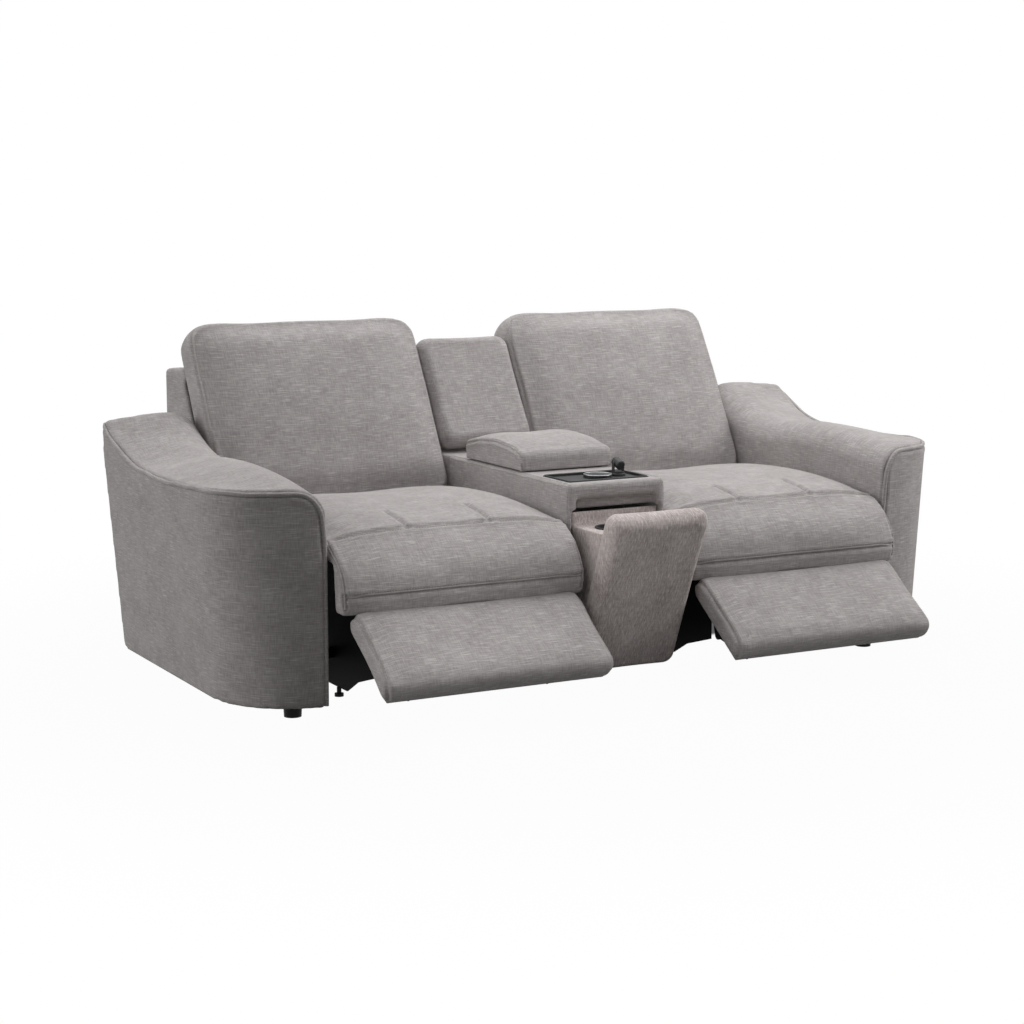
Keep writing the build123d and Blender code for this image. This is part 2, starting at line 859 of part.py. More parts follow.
# Console body: two side panels with a floor, a rear wall, a bay wall and the rails and bed of the top between.
side_inner = console_half - jamb
panel_half = side_inner - running_gap
bay_inner = console_half - bay_wall
bin_hole = 9
pivot_reach = bay_inner + bin_hole
tub_pocket_front = tub_front - tub_wall - running_gap
tub_pocket_rear = tub_rear + tub_wall + running_gap
bed_top = console_top - tray_depth
bed_y = (tray_front - running_gap, tray_rear + running_gap)
with BuildPart() as side_panel:
    add(block((side_inner, console_half), (console_front, console_rear), (foot_height, console_top)))
    fillet(side_panel.edges().filter_by(Axis.Y).group_by(Axis.Z)[-1].sort_by(Axis.X)[-1:], 12)
    fillet(side_panel.edges().filter_by(Axis.X).group_by(Axis.Y)[0].sort_by(Axis.Z)[-1:], 14)
    bay_y = (console_front - 1, bay_rear)
    add(block((side_inner - 1, bay_inner), bay_y, (bay_floor, header_under)), mode=Mode.SUBTRACT)
    add(discs([(bin_pivot_y, bin_pivot_z)], pin_hole, bay_inner - 1, pivot_reach), mode=Mode.SUBTRACT)
with BuildPart() as front_rail:
    add(block((-panel_half, panel_half), (console_front, bed_y[0] - running_gap), (rail_under, console_top)))
    fillet(front_rail.edges().filter_by(Axis.X).group_by(Axis.Y)[0], 14)
panel_x = (-panel_half, panel_half)
wall_z = (bay_floor + running_gap, console_top)
console_body = group([
    side_panel.part,
    mirror(side_panel.part, about=Plane.YZ),
    front_rail.part,
    block(panel_x, (console_front, console_rear), (foot_height, bay_floor)),
    block(panel_x, (console_rear - jamb, console_rear), wall_z),
    block(panel_x, (bay_rear, bay_rear + 15), (bay_floor + running_gap, header_under - running_gap)),
    block(panel_x, (console_front + header_setback, bay_rear + 15), (header_under, rail_under - running_gap)),
    block(panel_x, bed_y, (rail_under, bed_top)),
    block(panel_x, (bed_y[1] + running_gap, tub_pocket_front), (rail_under, console_top)),
    block(panel_x, (tub_pocket_rear, console_rear - jamb - running_gap), (rail_under, console_top)),
])
keep(console_body, "console_body")

# Storage box with a rim on the console top and two ears for the lid's hinge.
hinge_y = lid_rear + 10
hinge_z = console_top + lid_gap + hinge_radius
ear_x = (46, 62)
rim = 2
with BuildPart() as storage_box:
    add(
        block(
            (-tub_half - tub_wall, tub_half + tub_wall),
            (tub_front - tub_wall, tub_rear + tub_wall),
            (console_top - tub_depth - tub_wall, console_top),
        )
    )
    add(
        block(
            (-tub_half - 12, tub_half + 12),
            (tub_front - 12, hinge_y + 12),
            (console_top, console_top + rim),
        )
    )
    inside_z = (console_top - tub_depth, console_top + rim + 1)
    add(block((-tub_half, tub_half), (tub_front, tub_rear), inside_z), mode=Mode.SUBTRACT)
    for side in (-1, 1):
        ear_y = (hinge_y - hinge_radius, hinge_y + hinge_radius)
        add(block(sorted((side * ear_x[0], side * ear_x[1])), ear_y, (console_top + rim, hinge_z)))
        with BuildSketch(Plane.YZ.offset(min(side * ear_x[0], side * ear_x[1]))):
            with Locations((hinge_y, hinge_z)):
                Circle(hinge_radius)
        extrude(amount=ear_x[1] - ear_x[0])
    add(discs([(hinge_y, hinge_z)], hinge_pin + pin_clearance, -ear_x[1] - 1, ear_x[1] + 1), mode=Mode.SUBTRACT)
keep(storage_box.part, "storage_box")

# Lid: a crowned pad on a board whose hinge barrel and pin turn between the ears.
lid_bottom = console_top + lid_gap


def lid_section(share, lower):
    # A side profile of the lid: a rounded front edge, a crowned top and a square rear.
    front = lid_front + lower * 0.3
    edge = lid_bottom + lid_edge - lower * 0.3
    crown = lid_bottom + lid_height - lower
    middle = (lid_front + lid_rear) / 2
    nose_low = edge + 10 - lid_nose
    nose_middle = (front + lid_nose * (1 - cos(radians(45))), nose_low + lid_nose * sin(radians(45)))
    with BuildSketch(Plane.YZ.offset(share * lid_half)) as section:
        with BuildLine():
            Line((front, lid_bottom), (lid_rear, lid_bottom))
            Line((lid_rear, lid_bottom), (lid_rear, edge + 6))
            ThreePointArc((lid_rear, edge + 6), (middle, crown), (front + lid_nose, nose_low + lid_nose))
            ThreePointArc((front + lid_nose, nose_low + lid_nose), nose_middle, (front, nose_low))
            Line((front, nose_low), (front, lid_bottom))
        make_face()
    return section.sketch


lid_pad = [lid_section(share, lower) for share, lower in ((-1, 14), (-0.9, 6), (0, 0), (0.9, 6), (1, 14))]
with BuildPart() as lid:
    loft(lid_pad)
    barrel_half = ear_x[0] - lane_gap
    add(block((-barrel_half, barrel_half), (lid_rear - 30, hinge_y), (hinge_z - 2, hinge_z + 2)))
    add(discs([(hinge_y, hinge_z)], hinge_radius, -barrel_half, barrel_half))
    add(discs([(hinge_y, hinge_z)], hinge_pin, -ear_x[1], ear_x[1]))
keep(lid.part, "console_lid")

# Console back: an upholstered wedge behind a narrow cushion that leans like the seat backs.
console_lean = radians(back_lean + 2)
wedge_top_y = console_back_foot + (console_back_top - console_top) * sin(console_lean) / cos(console_lean)
pad_run = (console_back_top - console_top) / cos(console_lean)
behind = console_back_pad / cos(console_lean)
wedge = [
    (console_rear + running_gap, foot_height + 160),
    (console_rear + running_gap, console_top),
    (console_back_foot + behind + 2, console_top),
    (wedge_top_y + behind * 0.86, console_back_top - 18),
    (shell_rear - 10, console_back_top - 40),
    (shell_rear - 10, shell_bottom),
]
keep(prism(wedge, -console_half, console_half), "console_back_frame")
pad_origin_y = console_back_foot + behind + pad_run / 2 * sin(console_lean)
console_pad_plane = Plane(
    origin=(0, pad_origin_y, console_top + pad_run / 2 * cos(console_lean)),
    x_dir=(1, 0, 0),
    z_dir=(0, -cos(console_lean), sin(console_lean)),
)
console_pad_levels = [
    (0, 6), (14, 0), (console_back_pad - 18, 0), (console_back_pad - 4, 10), (console_back_pad, 30),
]
console_pad = cushion(console_pad_plane, 2 * (console_half - 4), pad_run, 34, console_pad_levels, draw=2)
with BuildPart() as console_back:
    add(console_pad)
    body_z = (0, console_top + rim + running_gap)
    add(block((-console_half - 1, console_half + 1), (0, shell_rear), body_z), mode=Mode.SUBTRACT)
    add(prism(wedge, -console_half, console_half), mode=Mode.SUBTRACT)
keep(console_back.part, "console_back_cushion")

# Tilt-out bin, drawn at its open rest place: a padded front, a box behind it with a low
# rear wall, and two cup holders in its deck.
tilt = radians(bin_tilt)


def opened(point):
    rel = turned((point[0] - bin_pivot_y, point[1] - bin_pivot_z), tilt)
    return (bin_pivot_y + rel[0], bin_pivot_z + rel[1])


front_gap = 5
front_rear_y = console_front - front_gap
front_low = bin_front_low
front_middle = opened((front_rear_y, front_low + bin_front_height / 2))
front_plane = Plane(
    origin=(0, front_middle[0], front_middle[1]),
    x_dir=(1, 0, 0),
    z_dir=(0, -cos(tilt), -sin(tilt)),
)
front_levels = [
    (0, 5), (10, 0), (bin_front_thickness - 18, 0), (bin_front_thickness - 4, 9), (bin_front_thickness, 26),
]
keep(cushion(front_plane, 2 * bin_half, bin_front_height, 26, front_levels, draw=2), "bin_front")

box_front_low = opened((front_rear_y + running_gap, front_low + 10))
box_front_high_y = box_front_low[0] - (bin_deck_z - box_front_low[1]) * sin(tilt) / cos(tilt)
box_profile = [
    box_front_low,
    (box_front_high_y, bin_deck_z),
    (bin_deck_rear - bin_lip, bin_deck_z),
    (bin_deck_rear - bin_lip, bin_deck_z + bin_lip_height),
    (bin_deck_rear, bin_deck_z + bin_lip_height),
    (bin_pivot_y + 74, bin_pivot_z + 36),
    (bin_pivot_y + 30, bin_pivot_z - 8),
]
cup_y = (box_front_high_y + bin_deck_rear) / 2
cup_x = -52
with BuildPart() as bin_box:
    add(prism(box_profile, -bin_box_half, bin_box_half))
    with BuildSketch(Plane((0, cup_y, bin_deck_z))):
        with Locations((cup_x, 0), (-cup_x, 0)):
            Circle(cup_radius + cup_wall + running_gap)
    extrude(amount=-cup_depth - cup_wall - running_gap, mode=Mode.SUBTRACT)
    pin_reach = pivot_reach - lane_gap
    add(discs([(bin_pivot_y, bin_pivot_z)], pin_radius, bin_box_half, pin_reach))
    add(discs([(bin_pivot_y, bin_pivot_z)], pin_radius, -pin_reach, -bin_box_half))
keep(bin_box.part, "bin_box")

with BuildPart() as cup_holders:
    with BuildSketch(Plane((0, cup_y, bin_deck_z - cup_depth - cup_wall))):
        with Locations((cup_x, 0), (-cup_x, 0)):
            Circle(cup_radius + cup_wall)
    extrude(amount=cup_depth + cup_wall)
    with BuildSketch(Plane((0, cup_y, bin_deck_z))):
        with Locations((cup_x, 0), (-cup_x, 0)):
            Circle(cup_radius + 2 * cup_wall)
    extrude(amount=cup_wall)
    with BuildSketch(Plane((0, cup_y, bin_deck_z + cup_wall))):
        with Locations((cup_x, 0), (-cup_x, 0)):
            Circle(cup_radius)
    extrude(amount=-cup_depth - cup_wall, mode=Mode.SUBTRACT)
keep(cup_holders.part, "cup_holders")

# Tray panel in the console top, with the charging disc and the lamp on it.
tray_floor = console_top - tray_depth
with BuildPart() as tray:
    add(block((-tray_half, tray_half), (tray_front, tray_rear), (tray_floor, console_top + 1)))
    fillet(tray.edges().filter_by(Axis.Z), 6)
    offset_in = 5
    floor_x = (offset_in - tray_half, tray_half - offset_in)
    floor_y = (tray_front + offset_in, tray_rear - offset_in)
    add(block(floor_x, floor_y, (tray_floor + 4, console_top + 2)), mode=Mode.SUBTRACT)
keep(tray.part, "tray_panel")

tray_surface = tray_floor + 4
with BuildPart() as disc:
    with BuildSketch(Plane((disc_x, disc_y, tray_surface))):
        Circle(disc_radius)
    extrude(amount=disc_height)
    chamfer(disc.edges().group_by(Axis.Z)[-1], 1.5)
keep(disc.part, "charging_disc")

with BuildPart() as lamp_base:
    with BuildSketch(Plane((lamp_x, lamp_y, tray_surface))):
        Circle(lamp_radius)
    extrude(amount=lamp_height)
    chamfer(lamp_base.edges().group_by(Axis.Z)[-1], 2)
    with BuildSketch(Plane((lamp_x, lamp_y, tray_surface + 1))):
        Circle(pin_hole)
    extrude(amount=lamp_height, mode=Mode.SUBTRACT)
keep(lamp_base.part, "lamp_base")

# The lamp's neck turns on the base and holds the head between two cheeks.
neck_bottom = tray_surface + lamp_height + running_gap
neck_plate = 4
cheek_thickness = 3
head_z = neck_bottom + neck_plate + hypot(head_length / 2, head_radius) + head_clearance
cheek = (head_radius + lane_gap, head_radius + lane_gap + cheek_thickness)
with BuildPart() as lamp_neck:
    with BuildSketch(Plane((lamp_x, lamp_y, tray_surface + 1 + running_gap))):
        Circle(pin_radius)
    extrude(amount=lamp_height)
    with BuildSketch(Plane((lamp_x, lamp_y, neck_bottom))):
        Circle(cheek[1])
    extrude(amount=neck_plate)
    for side in (-1, 1):
        with BuildSketch(Plane.YZ.offset(lamp_x + side * cheek[0])):
            with Locations((lamp_y, (neck_bottom + neck_plate + head_z) / 2)):
                Rectangle(10, head_z - neck_bottom - neck_plate)
            with Locations((lamp_y, head_z)):
                Circle(5)
                Circle(hinge_pin + pin_clearance, mode=Mode.SUBTRACT)
        extrude(amount=side * cheek_thickness)
keep(lamp_neck.part, "lamp_neck")

head_tilt = radians(20)
head_axis = (-cos(head_tilt), -sin(head_tilt))
with BuildPart() as lamp_head:
    with BuildSketch(
        Plane(
            origin=(lamp_x, lamp_y - head_axis[0] * head_length / 2, head_z - head_axis[1] * head_length / 2),
            x_dir=(1, 0, 0),
            z_dir=(0, head_axis[0], head_axis[1]),
        )
    ):
        Circle(head_radius)
    extrude(amount=head_length)
    chamfer(lamp_head.edges(), 2)
    add(discs([(lamp_y, head_z)], hinge_pin, lamp_x - cheek[1], lamp_x + cheek[1]))
keep(lamp_head.part, "lamp_head")

# Switches at each sitter's right hand: a plate on the arm or the console, with two push buttons.
switch_faces = {"left": -arm_inner, "right": console_half}
button_places = {"open": switch_y - button_pitch / 2, "close": switch_y + button_pitch / 2}
button_travel = 1.8
button_back = 3
with BuildPart() as switch_plates:
    for face in switch_faces.values():
        with BuildSketch(Plane.YZ.offset(face)):
            with Locations((switch_y, switch_z)):
                RectangleRounded(switch_length, switch_height, 10)
        extrude(amount=switch_depth)
        with BuildSketch(Plane.YZ.offset(face + button_back)):
            with Locations(*[(y, switch_z) for y in button_places.values()]):
                RectangleRounded(button_length + 2 * button_gap, button_height + 2 * button_gap, 5)
        extrude(amount=switch_depth, mode=Mode.SUBTRACT)
keep(switch_plates.part, "switch_plates")

for side, face in switch_faces.items():
    for name, y in button_places.items():
        with BuildPart() as button:
            with BuildSketch(Plane.YZ.offset(face + button_back + button_travel + running_gap)):
                with Locations((y, switch_z)):
                    RectangleRounded(button_length, button_height, 5 - button_gap)
            extrude(amount=switch_depth - button_back - button_travel - running_gap + button_proud)
        keep(button.part, f"{side}_{name}_button")

# The sofa is centred front to back on its own box, then each piece is written out.
front_most = min(piece.bounding_box().min.Y for piece in pieces)
rear_most = max(piece.bounding_box().max.Y for piece in pieces)
centre_shift = -(front_most + rear_most) / 2
for piece in pieces:
    placed = piece.moved(Location((0, centre_shift, 0)))
    placed.label = piece.label
    export_step(placed, f"parts/{piece.label}.step")
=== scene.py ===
import math

import bmesh
import bpy
import numpy as np
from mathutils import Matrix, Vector, kdtree


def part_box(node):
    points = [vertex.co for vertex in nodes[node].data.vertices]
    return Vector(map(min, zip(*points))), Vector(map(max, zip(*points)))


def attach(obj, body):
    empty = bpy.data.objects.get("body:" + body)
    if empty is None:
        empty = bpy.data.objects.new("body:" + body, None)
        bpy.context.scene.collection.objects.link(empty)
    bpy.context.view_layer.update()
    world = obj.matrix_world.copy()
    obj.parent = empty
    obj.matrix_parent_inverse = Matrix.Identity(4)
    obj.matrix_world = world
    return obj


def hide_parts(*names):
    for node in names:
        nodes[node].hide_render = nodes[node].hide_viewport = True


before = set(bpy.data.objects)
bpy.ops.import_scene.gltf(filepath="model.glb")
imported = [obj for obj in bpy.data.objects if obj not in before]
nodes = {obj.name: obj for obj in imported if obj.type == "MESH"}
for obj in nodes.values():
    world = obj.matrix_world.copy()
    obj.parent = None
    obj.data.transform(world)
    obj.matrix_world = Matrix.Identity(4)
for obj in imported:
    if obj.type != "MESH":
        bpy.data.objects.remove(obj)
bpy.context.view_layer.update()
scene = bpy.context.scene
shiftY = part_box("console_body")[0].y + 0.423  # the console's front stands 423 mm before the drawing's zero
seats = (("left", -495), ("right", 495))  # the middle of each seat, in millimetres on the drawing
print("frame loaded,", len(nodes), "nodes")


def at(x, y, z):  # millimetres on the drawing to metres in the frame
    return Vector((x / 1000, y / 1000 + shiftY, z / 1000))


def linear(hexColour):  # sRGB hex to the linear values that the sockets take
    parts = [int(hexColour[i:i + 2], 16) / 255 for i in (1, 3, 5)]
    return [c / 12.92 if c <= 0.04045 else ((c + 0.055) / 1.055) ** 2.4 for c in parts] + [1.0]


def addNode(tree, kind, settings, links=()):
    node = tree.nodes.new(kind)
    for name, value in settings.items():
        if isinstance(name, str) and hasattr(node, name):
            setattr(node, name, value)
        else:
            node.inputs[name].default_value = value
    for source, socket in links:
        tree.links.new(source, node.inputs[socket])
    return node


def newMaterial(name):
    material = bpy.data.materials.new(name)
    material.use_nodes = True
    tree = material.node_tree
    tree.nodes.clear()
    output = addNode(tree, "ShaderNodeOutputMaterial", {})
    shader = addNode(tree, "ShaderNodeBsdfPrincipled", {})
    tree.links.new(shader.outputs[0], output.inputs["Surface"])
    return material, tree, shader


# Upholstery: a heathered chenille, woven plain with uneven weft slubs. The eye sees a soft grey ground,
# sparse pale weft streaks, fainter warp nicks and clouds of brushed nap. Threads of 1.3 mm are drawn
# about twice as coarse so that they show at this distance.
chenilleLook = {
    "mid": "#a49f9e",
    "dark": "#8a8584",
    "light": "#c0bcbb",
    "slubLength": 0.032,
    "slubWidth": 0.0025,
    "warpLength": 0.026,
    "warpWidth": 0.0025,
    "napSize": 0.11,
    "streakLength": 0.05,
    "streakWidth": 0.0024,
    "weft": 0.31,
    "warp": 0.32,
    "nap": 0.19,
    "streak": 0.20,
    "relief": 0.0005,
}


def chenille(name, look, turned=False):
    material, tree, shader = newMaterial(name)
    shader.inputs["Roughness"].default_value = 0.93
    shader.inputs["Specular IOR Level"].default_value = 0.08
    shader.inputs["Sheen Weight"].default_value = 0.2
    shader.inputs["Sheen Roughness"].default_value = 0.45
    shader.inputs["Sheen Tint"].default_value = linear("#e8e5e2")
    weave = addNode(tree, "ShaderNodeUVMap", {"uv_map": "weave"})
    turn = math.pi / 2 if turned else 0.0
    along = addNode(tree, "ShaderNodeMapping", {"Rotation": (0, 0, turn)}, [(weave.outputs[0], "Vector")])
    threads = {
        "weft": (1 / look["slubLength"], 1 / look["slubWidth"], 1.5),
        "warp": (1 / look["warpWidth"], 1 / look["warpLength"], 1.5),
        "nap": (1 / look["napSize"], 1.5 / look["napSize"], 2.0),
        "streak": (1 / look["streakLength"], 1 / look["streakWidth"], 1.0),
    }
    noises = {}
    for thread, (acrossScale, upScale, detail) in threads.items():
        scale = (acrossScale, upScale, 1)
        spot = addNode(tree, "ShaderNodeMapping", {"Scale": scale}, [(along.outputs[0], "Vector")])
        uneven = {"noise_dimensions": "2D", "Scale": 1.0, "Detail": detail, "Roughness": 0.6}
        noise = addNode(tree, "ShaderNodeTexNoise", uneven, [(spot.outputs[0], "Vector")])
        noises[thread] = noise.outputs["Fac"]
    sparse = {"interpolation_type": "SMOOTHSTEP", "From Min": 0.60, "From Max": 0.72}
    pale = addNode(tree, "ShaderNodeMapRange", sparse, [(noises["streak"], "Value")])
    ground = addNode(tree, "ShaderNodeMath", {"operation": "MULTIPLY", 1: look["weft"]}, [
        (noises["weft"], 0),
    ])
    woven = addNode(tree, "ShaderNodeMath", {"operation": "MULTIPLY_ADD", 1: look["warp"]}, [
        (noises["warp"], 0),
        (ground.outputs[0], 2),
    ])
    streaked = addNode(tree, "ShaderNodeMath", {"operation": "MULTIPLY_ADD", 1: look["streak"]}, [
        (pale.outputs[0], 0),
        (woven.outputs[0], 2),
    ])
    clouded = addNode(tree, "ShaderNodeMath", {"operation": "MULTIPLY_ADD", 1: look["nap"]}, [
        (noises["nap"], 0),
        (streaked.outputs[0], 2),
    ])
    tone = addNode(tree, "ShaderNodeValToRGB", {}, [(clouded.outputs[0], "Fac")])
    ramp = tone.color_ramp
    centre = (look["weft"] + look["warp"] + look["nap"]) / 2 + 0.1 * look["streak"]
    ramp.elements[0].position, ramp.elements[0].color = centre - 0.22, linear(look["dark"])
    ramp.elements[1].position, ramp.elements[1].color = centre + 0.23, linear(look["light"])
    middle = ramp.elements.new(centre - 0.02)
    middle.color = linear(look["mid"])
    tree.links.new(tone.outputs["Color"], shader.inputs["Base Color"])
    raised = {"Strength": 0.45, "Distance": look["relief"]}
    bump = addNode(tree, "ShaderNodeBump", raised, [(streaked.outputs[0], "Height")])
    tree.links.new(bump.outputs[0], shader.inputs["Normal"])
    return material


fabric = chenille("heatheredChenille", chenilleLook)
binLook = {  # the same yarn with its nap brushed up, laid with the weft upright
    **chenilleLook,
    "mid": "#b8aeab",
    "dark": "#948a87",
    "light": "#dcd3d0",
    "slubLength": 0.016,
    "slubWidth": 0.0034,
    "weft": 0.46,
    "warp": 0.2,
    "nap": 0.26,
    "streakLength": 0.022,
    "relief": 0.0009,
}
binFabric = chenille("nappedChenille", binLook, turned=True)


def grained(name, colour, pale, roughness, grain, relief, metallic=0.0, specular=0.5, stretch=(1, 1, 1)):
    # A solid stock with its colour slightly uneven and its surface grain raised.
    material, tree, shader = newMaterial(name)
    shader.inputs["Metallic"].default_value = metallic
    shader.inputs["Specular IOR Level"].default_value = specular
    place = addNode(tree, "ShaderNodeTexCoord", {})
    scale = [s / grain for s in stretch]
    spot = addNode(tree, "ShaderNodeMapping", {"Scale": scale}, [(place.outputs["Object"], "Vector")])
    uneven = {"Scale": 1.0, "Detail": 4.0, "Roughness": 0.6}
    noise = addNode(tree, "ShaderNodeTexNoise", uneven, [(spot.outputs[0], "Vector")])
    tone = addNode(tree, "ShaderNodeValToRGB", {}, [(noise.outputs["Fac"], "Fac")])
    tone.color_ramp.elements[0].position, tone.color_ramp.elements[0].color = 0.35, linear(colour)
    tone.color_ramp.elements[1].position, tone.color_ramp.elements[1].color = 0.75, linear(pale)
    tree.links.new(tone.outputs["Color"], shader.inputs["Base Color"])
    wear = {"From Min": 0.3, "From Max": 0.7, "To Min": roughness - 0.06, "To Max": roughness + 0.08}
    rough = addNode(tree, "ShaderNodeMapRange", wear, [(noise.outputs["Fac"], "Value")])
    tree.links.new(rough.outputs[0], shader.inputs["Roughness"])
    raised = {"Strength": 0.4, "Distance": relief}
    bump = addNode(tree, "ShaderNodeBump", raised, [(noise.outputs["Fac"], "Height")])
    tree.links.new(bump.outputs[0], shader.inputs["Normal"])
    return material


# Powder coat on steel: a dull black with the fine dimples of sprayed powder.
steel = grained("blackPowderCoat", "#08080a", "#0f0f10", 0.55, 0.0018, 0.0002, specular=0.03)
# Zinc plate on drawn bar: bright grey, with faint lines along the bar.
zinc = grained("zincPlate", "#9a9c9e", "#c2c3c4", 0.34, 0.004, 0.0001, metallic=1.0, stretch=(1, 0.2, 1))
# ABS from a spark-eroded mould: an even, dull charcoal.
mouldedAbs = grained("texturedAbs", "#161617", "#202022", 0.58, 0.0012, 0.00015)
# Moulded nylon: smooth and nearly black.
nylon = grained("mouldedNylon", "#0c0c0d", "#151517", 0.5, 0.003, 0.0001, specular=0.12)
# ABS from a polished mould: a soft shine on the charging disc and the buttons.
discPlastic = grained("satinAbs", "#18181a", "#232326", 0.3, 0.005, 0.00005)
buttonPlastic = grained("satinGreyAbs", "#4a4a4d", "#58585b", 0.35, 0.004, 0.00005)
# Poplar, its colour darkened near black as painted shade for the frames seen in the gaps: dull, with its
# grain along the rail.
timber = grained(
    "poplarPaintedShade", "#15110d", "#231c15", 0.75, 0.012, 0.0004, specular=0.2, stretch=(1, 0.12, 1)
)
# Elastic webbing: black straps with a ribbed weave.
webbing = grained("elasticWebbing", "#151515", "#2a2a2a", 0.85, 0.0025, 0.0005, stretch=(1, 0.25, 1))

finishes = {
    "base_side_plates": steel,
    "base_cross_tubes": steel,
    "base_glides": nylon,
    "sofa_feet": nylon,
    "charging_disc": discPlastic,
}
for name in ("storage_box", "tray_panel", "cup_holders", "switch_plates"):
    finishes[name] = mouldedAbs
for name in ("lamp_base", "lamp_neck", "lamp_head"):
    finishes[name] = mouldedAbs
for side in ("left", "right"):
    for part in ("front_links", "rear_links", "control_rods", "footrest_brackets", "back_brackets"):
        finishes[f"{side}_{part}"] = steel
    finishes[f"{side}_carrier_links"] = zinc
    for part in ("motors", "footrest_carriage", "back_carriage"):
        finishes[f"{side}_{part}"] = nylon
    for part in ("arm_frame", "seat_frame", "back_frame", "footrest_board"):
        finishes[f"{side}_{part}"] = timber
    finishes[f"{side}_seat_webbing"] = webbing
    for part in ("open_button", "close_button"):
        finishes[f"{side}_{part}"] = buttonPlastic
for name, material in finishes.items():
    nodes[name].data.materials.clear()
    nodes[name].data.materials.append(material)
print("materials made")


def weaveMap(mesh):
    # Cloth lies with its weft level on every face: across on fronts and tops, front to back on sides.
    layer = mesh.uv_layers.get("weave") or mesh.uv_layers.new(name="weave")
    count = len(mesh.polygons)
    normals = np.zeros(count * 3)
    mesh.polygons.foreach_get("normal", normals)
    normals = normals.reshape(-1, 3)
    totals = np.zeros(count, dtype=int)
    mesh.polygons.foreach_get("loop_total", totals)
    corners = np.zeros(len(mesh.loops), dtype=int)
    mesh.loops.foreach_get("vertex_index", corners)
    places = np.zeros(len(mesh.vertices) * 3)
    mesh.vertices.foreach_get("co", places)
    places = places.reshape(-1, 3)[corners]
    facing = np.repeat(np.abs(normals).argmax(1), totals)
    weft = np.where(facing == 0, places[:, 1], places[:, 0])
    warp = np.where(facing == 2, places[:, 1], places[:, 2])
    layer.data.foreach_set("uv", np.stack([weft, warp], 1).ravel())


def meshFrom(name, verts, faces, material):
    mesh = bpy.data.meshes.new(name)
    mesh.from_pydata([tuple(v) for v in verts], [], faces)
    mesh.update()
    piece = bpy.data.objects.new(name, mesh)
    scene.collection.objects.link(piece)
    mesh.materials.append(material)
    return piece


def applyModifiers(piece):
    bpy.context.view_layer.update()
    graph = bpy.context.evaluated_depsgraph_get()
    mesh = bpy.data.meshes.new_from_object(piece.evaluated_get(graph), depsgraph=graph)
    old = piece.data
    piece.modifiers.clear()
    piece.data = mesh
    bpy.data.meshes.remove(old)


def softCopy(nodeNames, name, voxel, rounding):
    # A skin over the drawn solids: merged, remeshed to even quads, with its hard edges rubbed round.
    work = bmesh.new()
    for node in nodeNames:
        work.from_mesh(nodes[node].data)
    bmesh.ops.remove_doubles(work, verts=work.verts, dist=0.00005)
    bmesh.ops.recalc_face_normals(work, faces=work.faces)
    piece = bpy.data.objects.new(name, bpy.data.meshes.new(name))
    scene.collection.objects.link(piece)
    work.to_mesh(piece.data)
    work.free()
    remesh = piece.modifiers.new("skin", "REMESH")
    remesh.mode = "VOXEL"
    remesh.voxel_size = voxel
    applyModifiers(piece)
    if rounding:
        rub = piece.modifiers.new("rub", "SMOOTH")
        rub.factor = 0.5
        rub.iterations = rounding
        applyModifiers(piece)
    piece.data.materials.clear()
    piece.data.materials.append(fabric)
    return piece


def coordinates(mesh, kind="co"):
    values = np.zeros(len(mesh.vertices) * 3)
    mesh.vertices.foreach_get(kind, values)
    return values.reshape(-1, 3)


def softened(mesh, values, rounds):
    # Averages a value over neighbouring points, as filling evens out under a cover.
    ends = np.zeros(len(mesh.edges) * 2, dtype=int)
    mesh.edges.foreach_get("vertices", ends)
    first, second = ends.reshape(-1, 2).T
    count = len(values)
    shared = np.maximum(np.bincount(ends, minlength=count), 1)
    for _ in range(rounds):
        total = np.bincount(first, values[second], count) + np.bincount(second, values[first], count)
        values = 0.5 * values + 0.5 * total / shared
    return values


def inflate(piece, pressure, cap, pinned):
    # Cloth blown up from inside, held where it is fixed to its board. Only its outward swell is kept,
    # evened out and no deeper than the cap, so that the cover stays tight.
    mesh = piece.data
    rest = coordinates(mesh)
    outward = coordinates(mesh, "normal")
    held = piece.vertex_groups.new(name="held")
    held.add([int(i) for i in np.nonzero(pinned(rest))[0]], 1.0, "REPLACE")
    cloth = piece.modifiers.new("puff", "CLOTH")
    setup = cloth.settings
    setup.quality = 4
    setup.mass = 0.3
    setup.tension_stiffness = 18
    setup.compression_stiffness = 18
    setup.shear_stiffness = 6
    setup.bending_stiffness = 0.4
    setup.use_pressure = True
    setup.uniform_pressure_force = pressure
    setup.effector_weights.gravity = 0
    setup.vertex_group_mass = "held"
    cloth.collision_settings.use_collision = False
    cloth.point_cache.frame_start, cloth.point_cache.frame_end = 1, 16
    for step in range(1, 17):
        scene.frame_set(step)
    graph = bpy.context.evaluated_depsgraph_get()
    blown = coordinates(piece.evaluated_get(graph).to_mesh())
    piece.modifiers.clear()
    scene.frame_set(1)
    swell = np.clip(((blown - rest) * outward).sum(1), 0, cap)
    swell = softened(mesh, swell, 40)
    print(piece.name, "swells by up to", round(float(swell.max()) * 1000, 1), "mm")
    mesh.vertices.foreach_set("co", (rest + outward * swell[:, None]).ravel())
    mesh.update()


def refine(piece):
    finer = piece.modifiers.new("finer", "SUBSURF")
    finer.levels = finer.render_levels = 1
    applyModifiers(piece)


def fillOut(piece, depth):
    # Padding under the cover brings a rubbed skin back out to its drawn size.
    mesh = piece.data
    mesh.vertices.foreach_set("co", (coordinates(mesh) + coordinates(mesh, "normal") * depth).ravel())
    mesh.update()


def stretched(piece, direction, start, run, amount):
    # Pulls the end of a piece out along a direction, as a full cushion crowds its neighbour.
    mesh = piece.data
    points = coordinates(mesh)
    share = np.clip((points @ np.array(direction) - start) / run, 0, 1)
    share = share * share * (3 - 2 * share)
    mesh.vertices.foreach_set("co", (points + np.outer(share, direction) * amount).ravel())
    mesh.update()


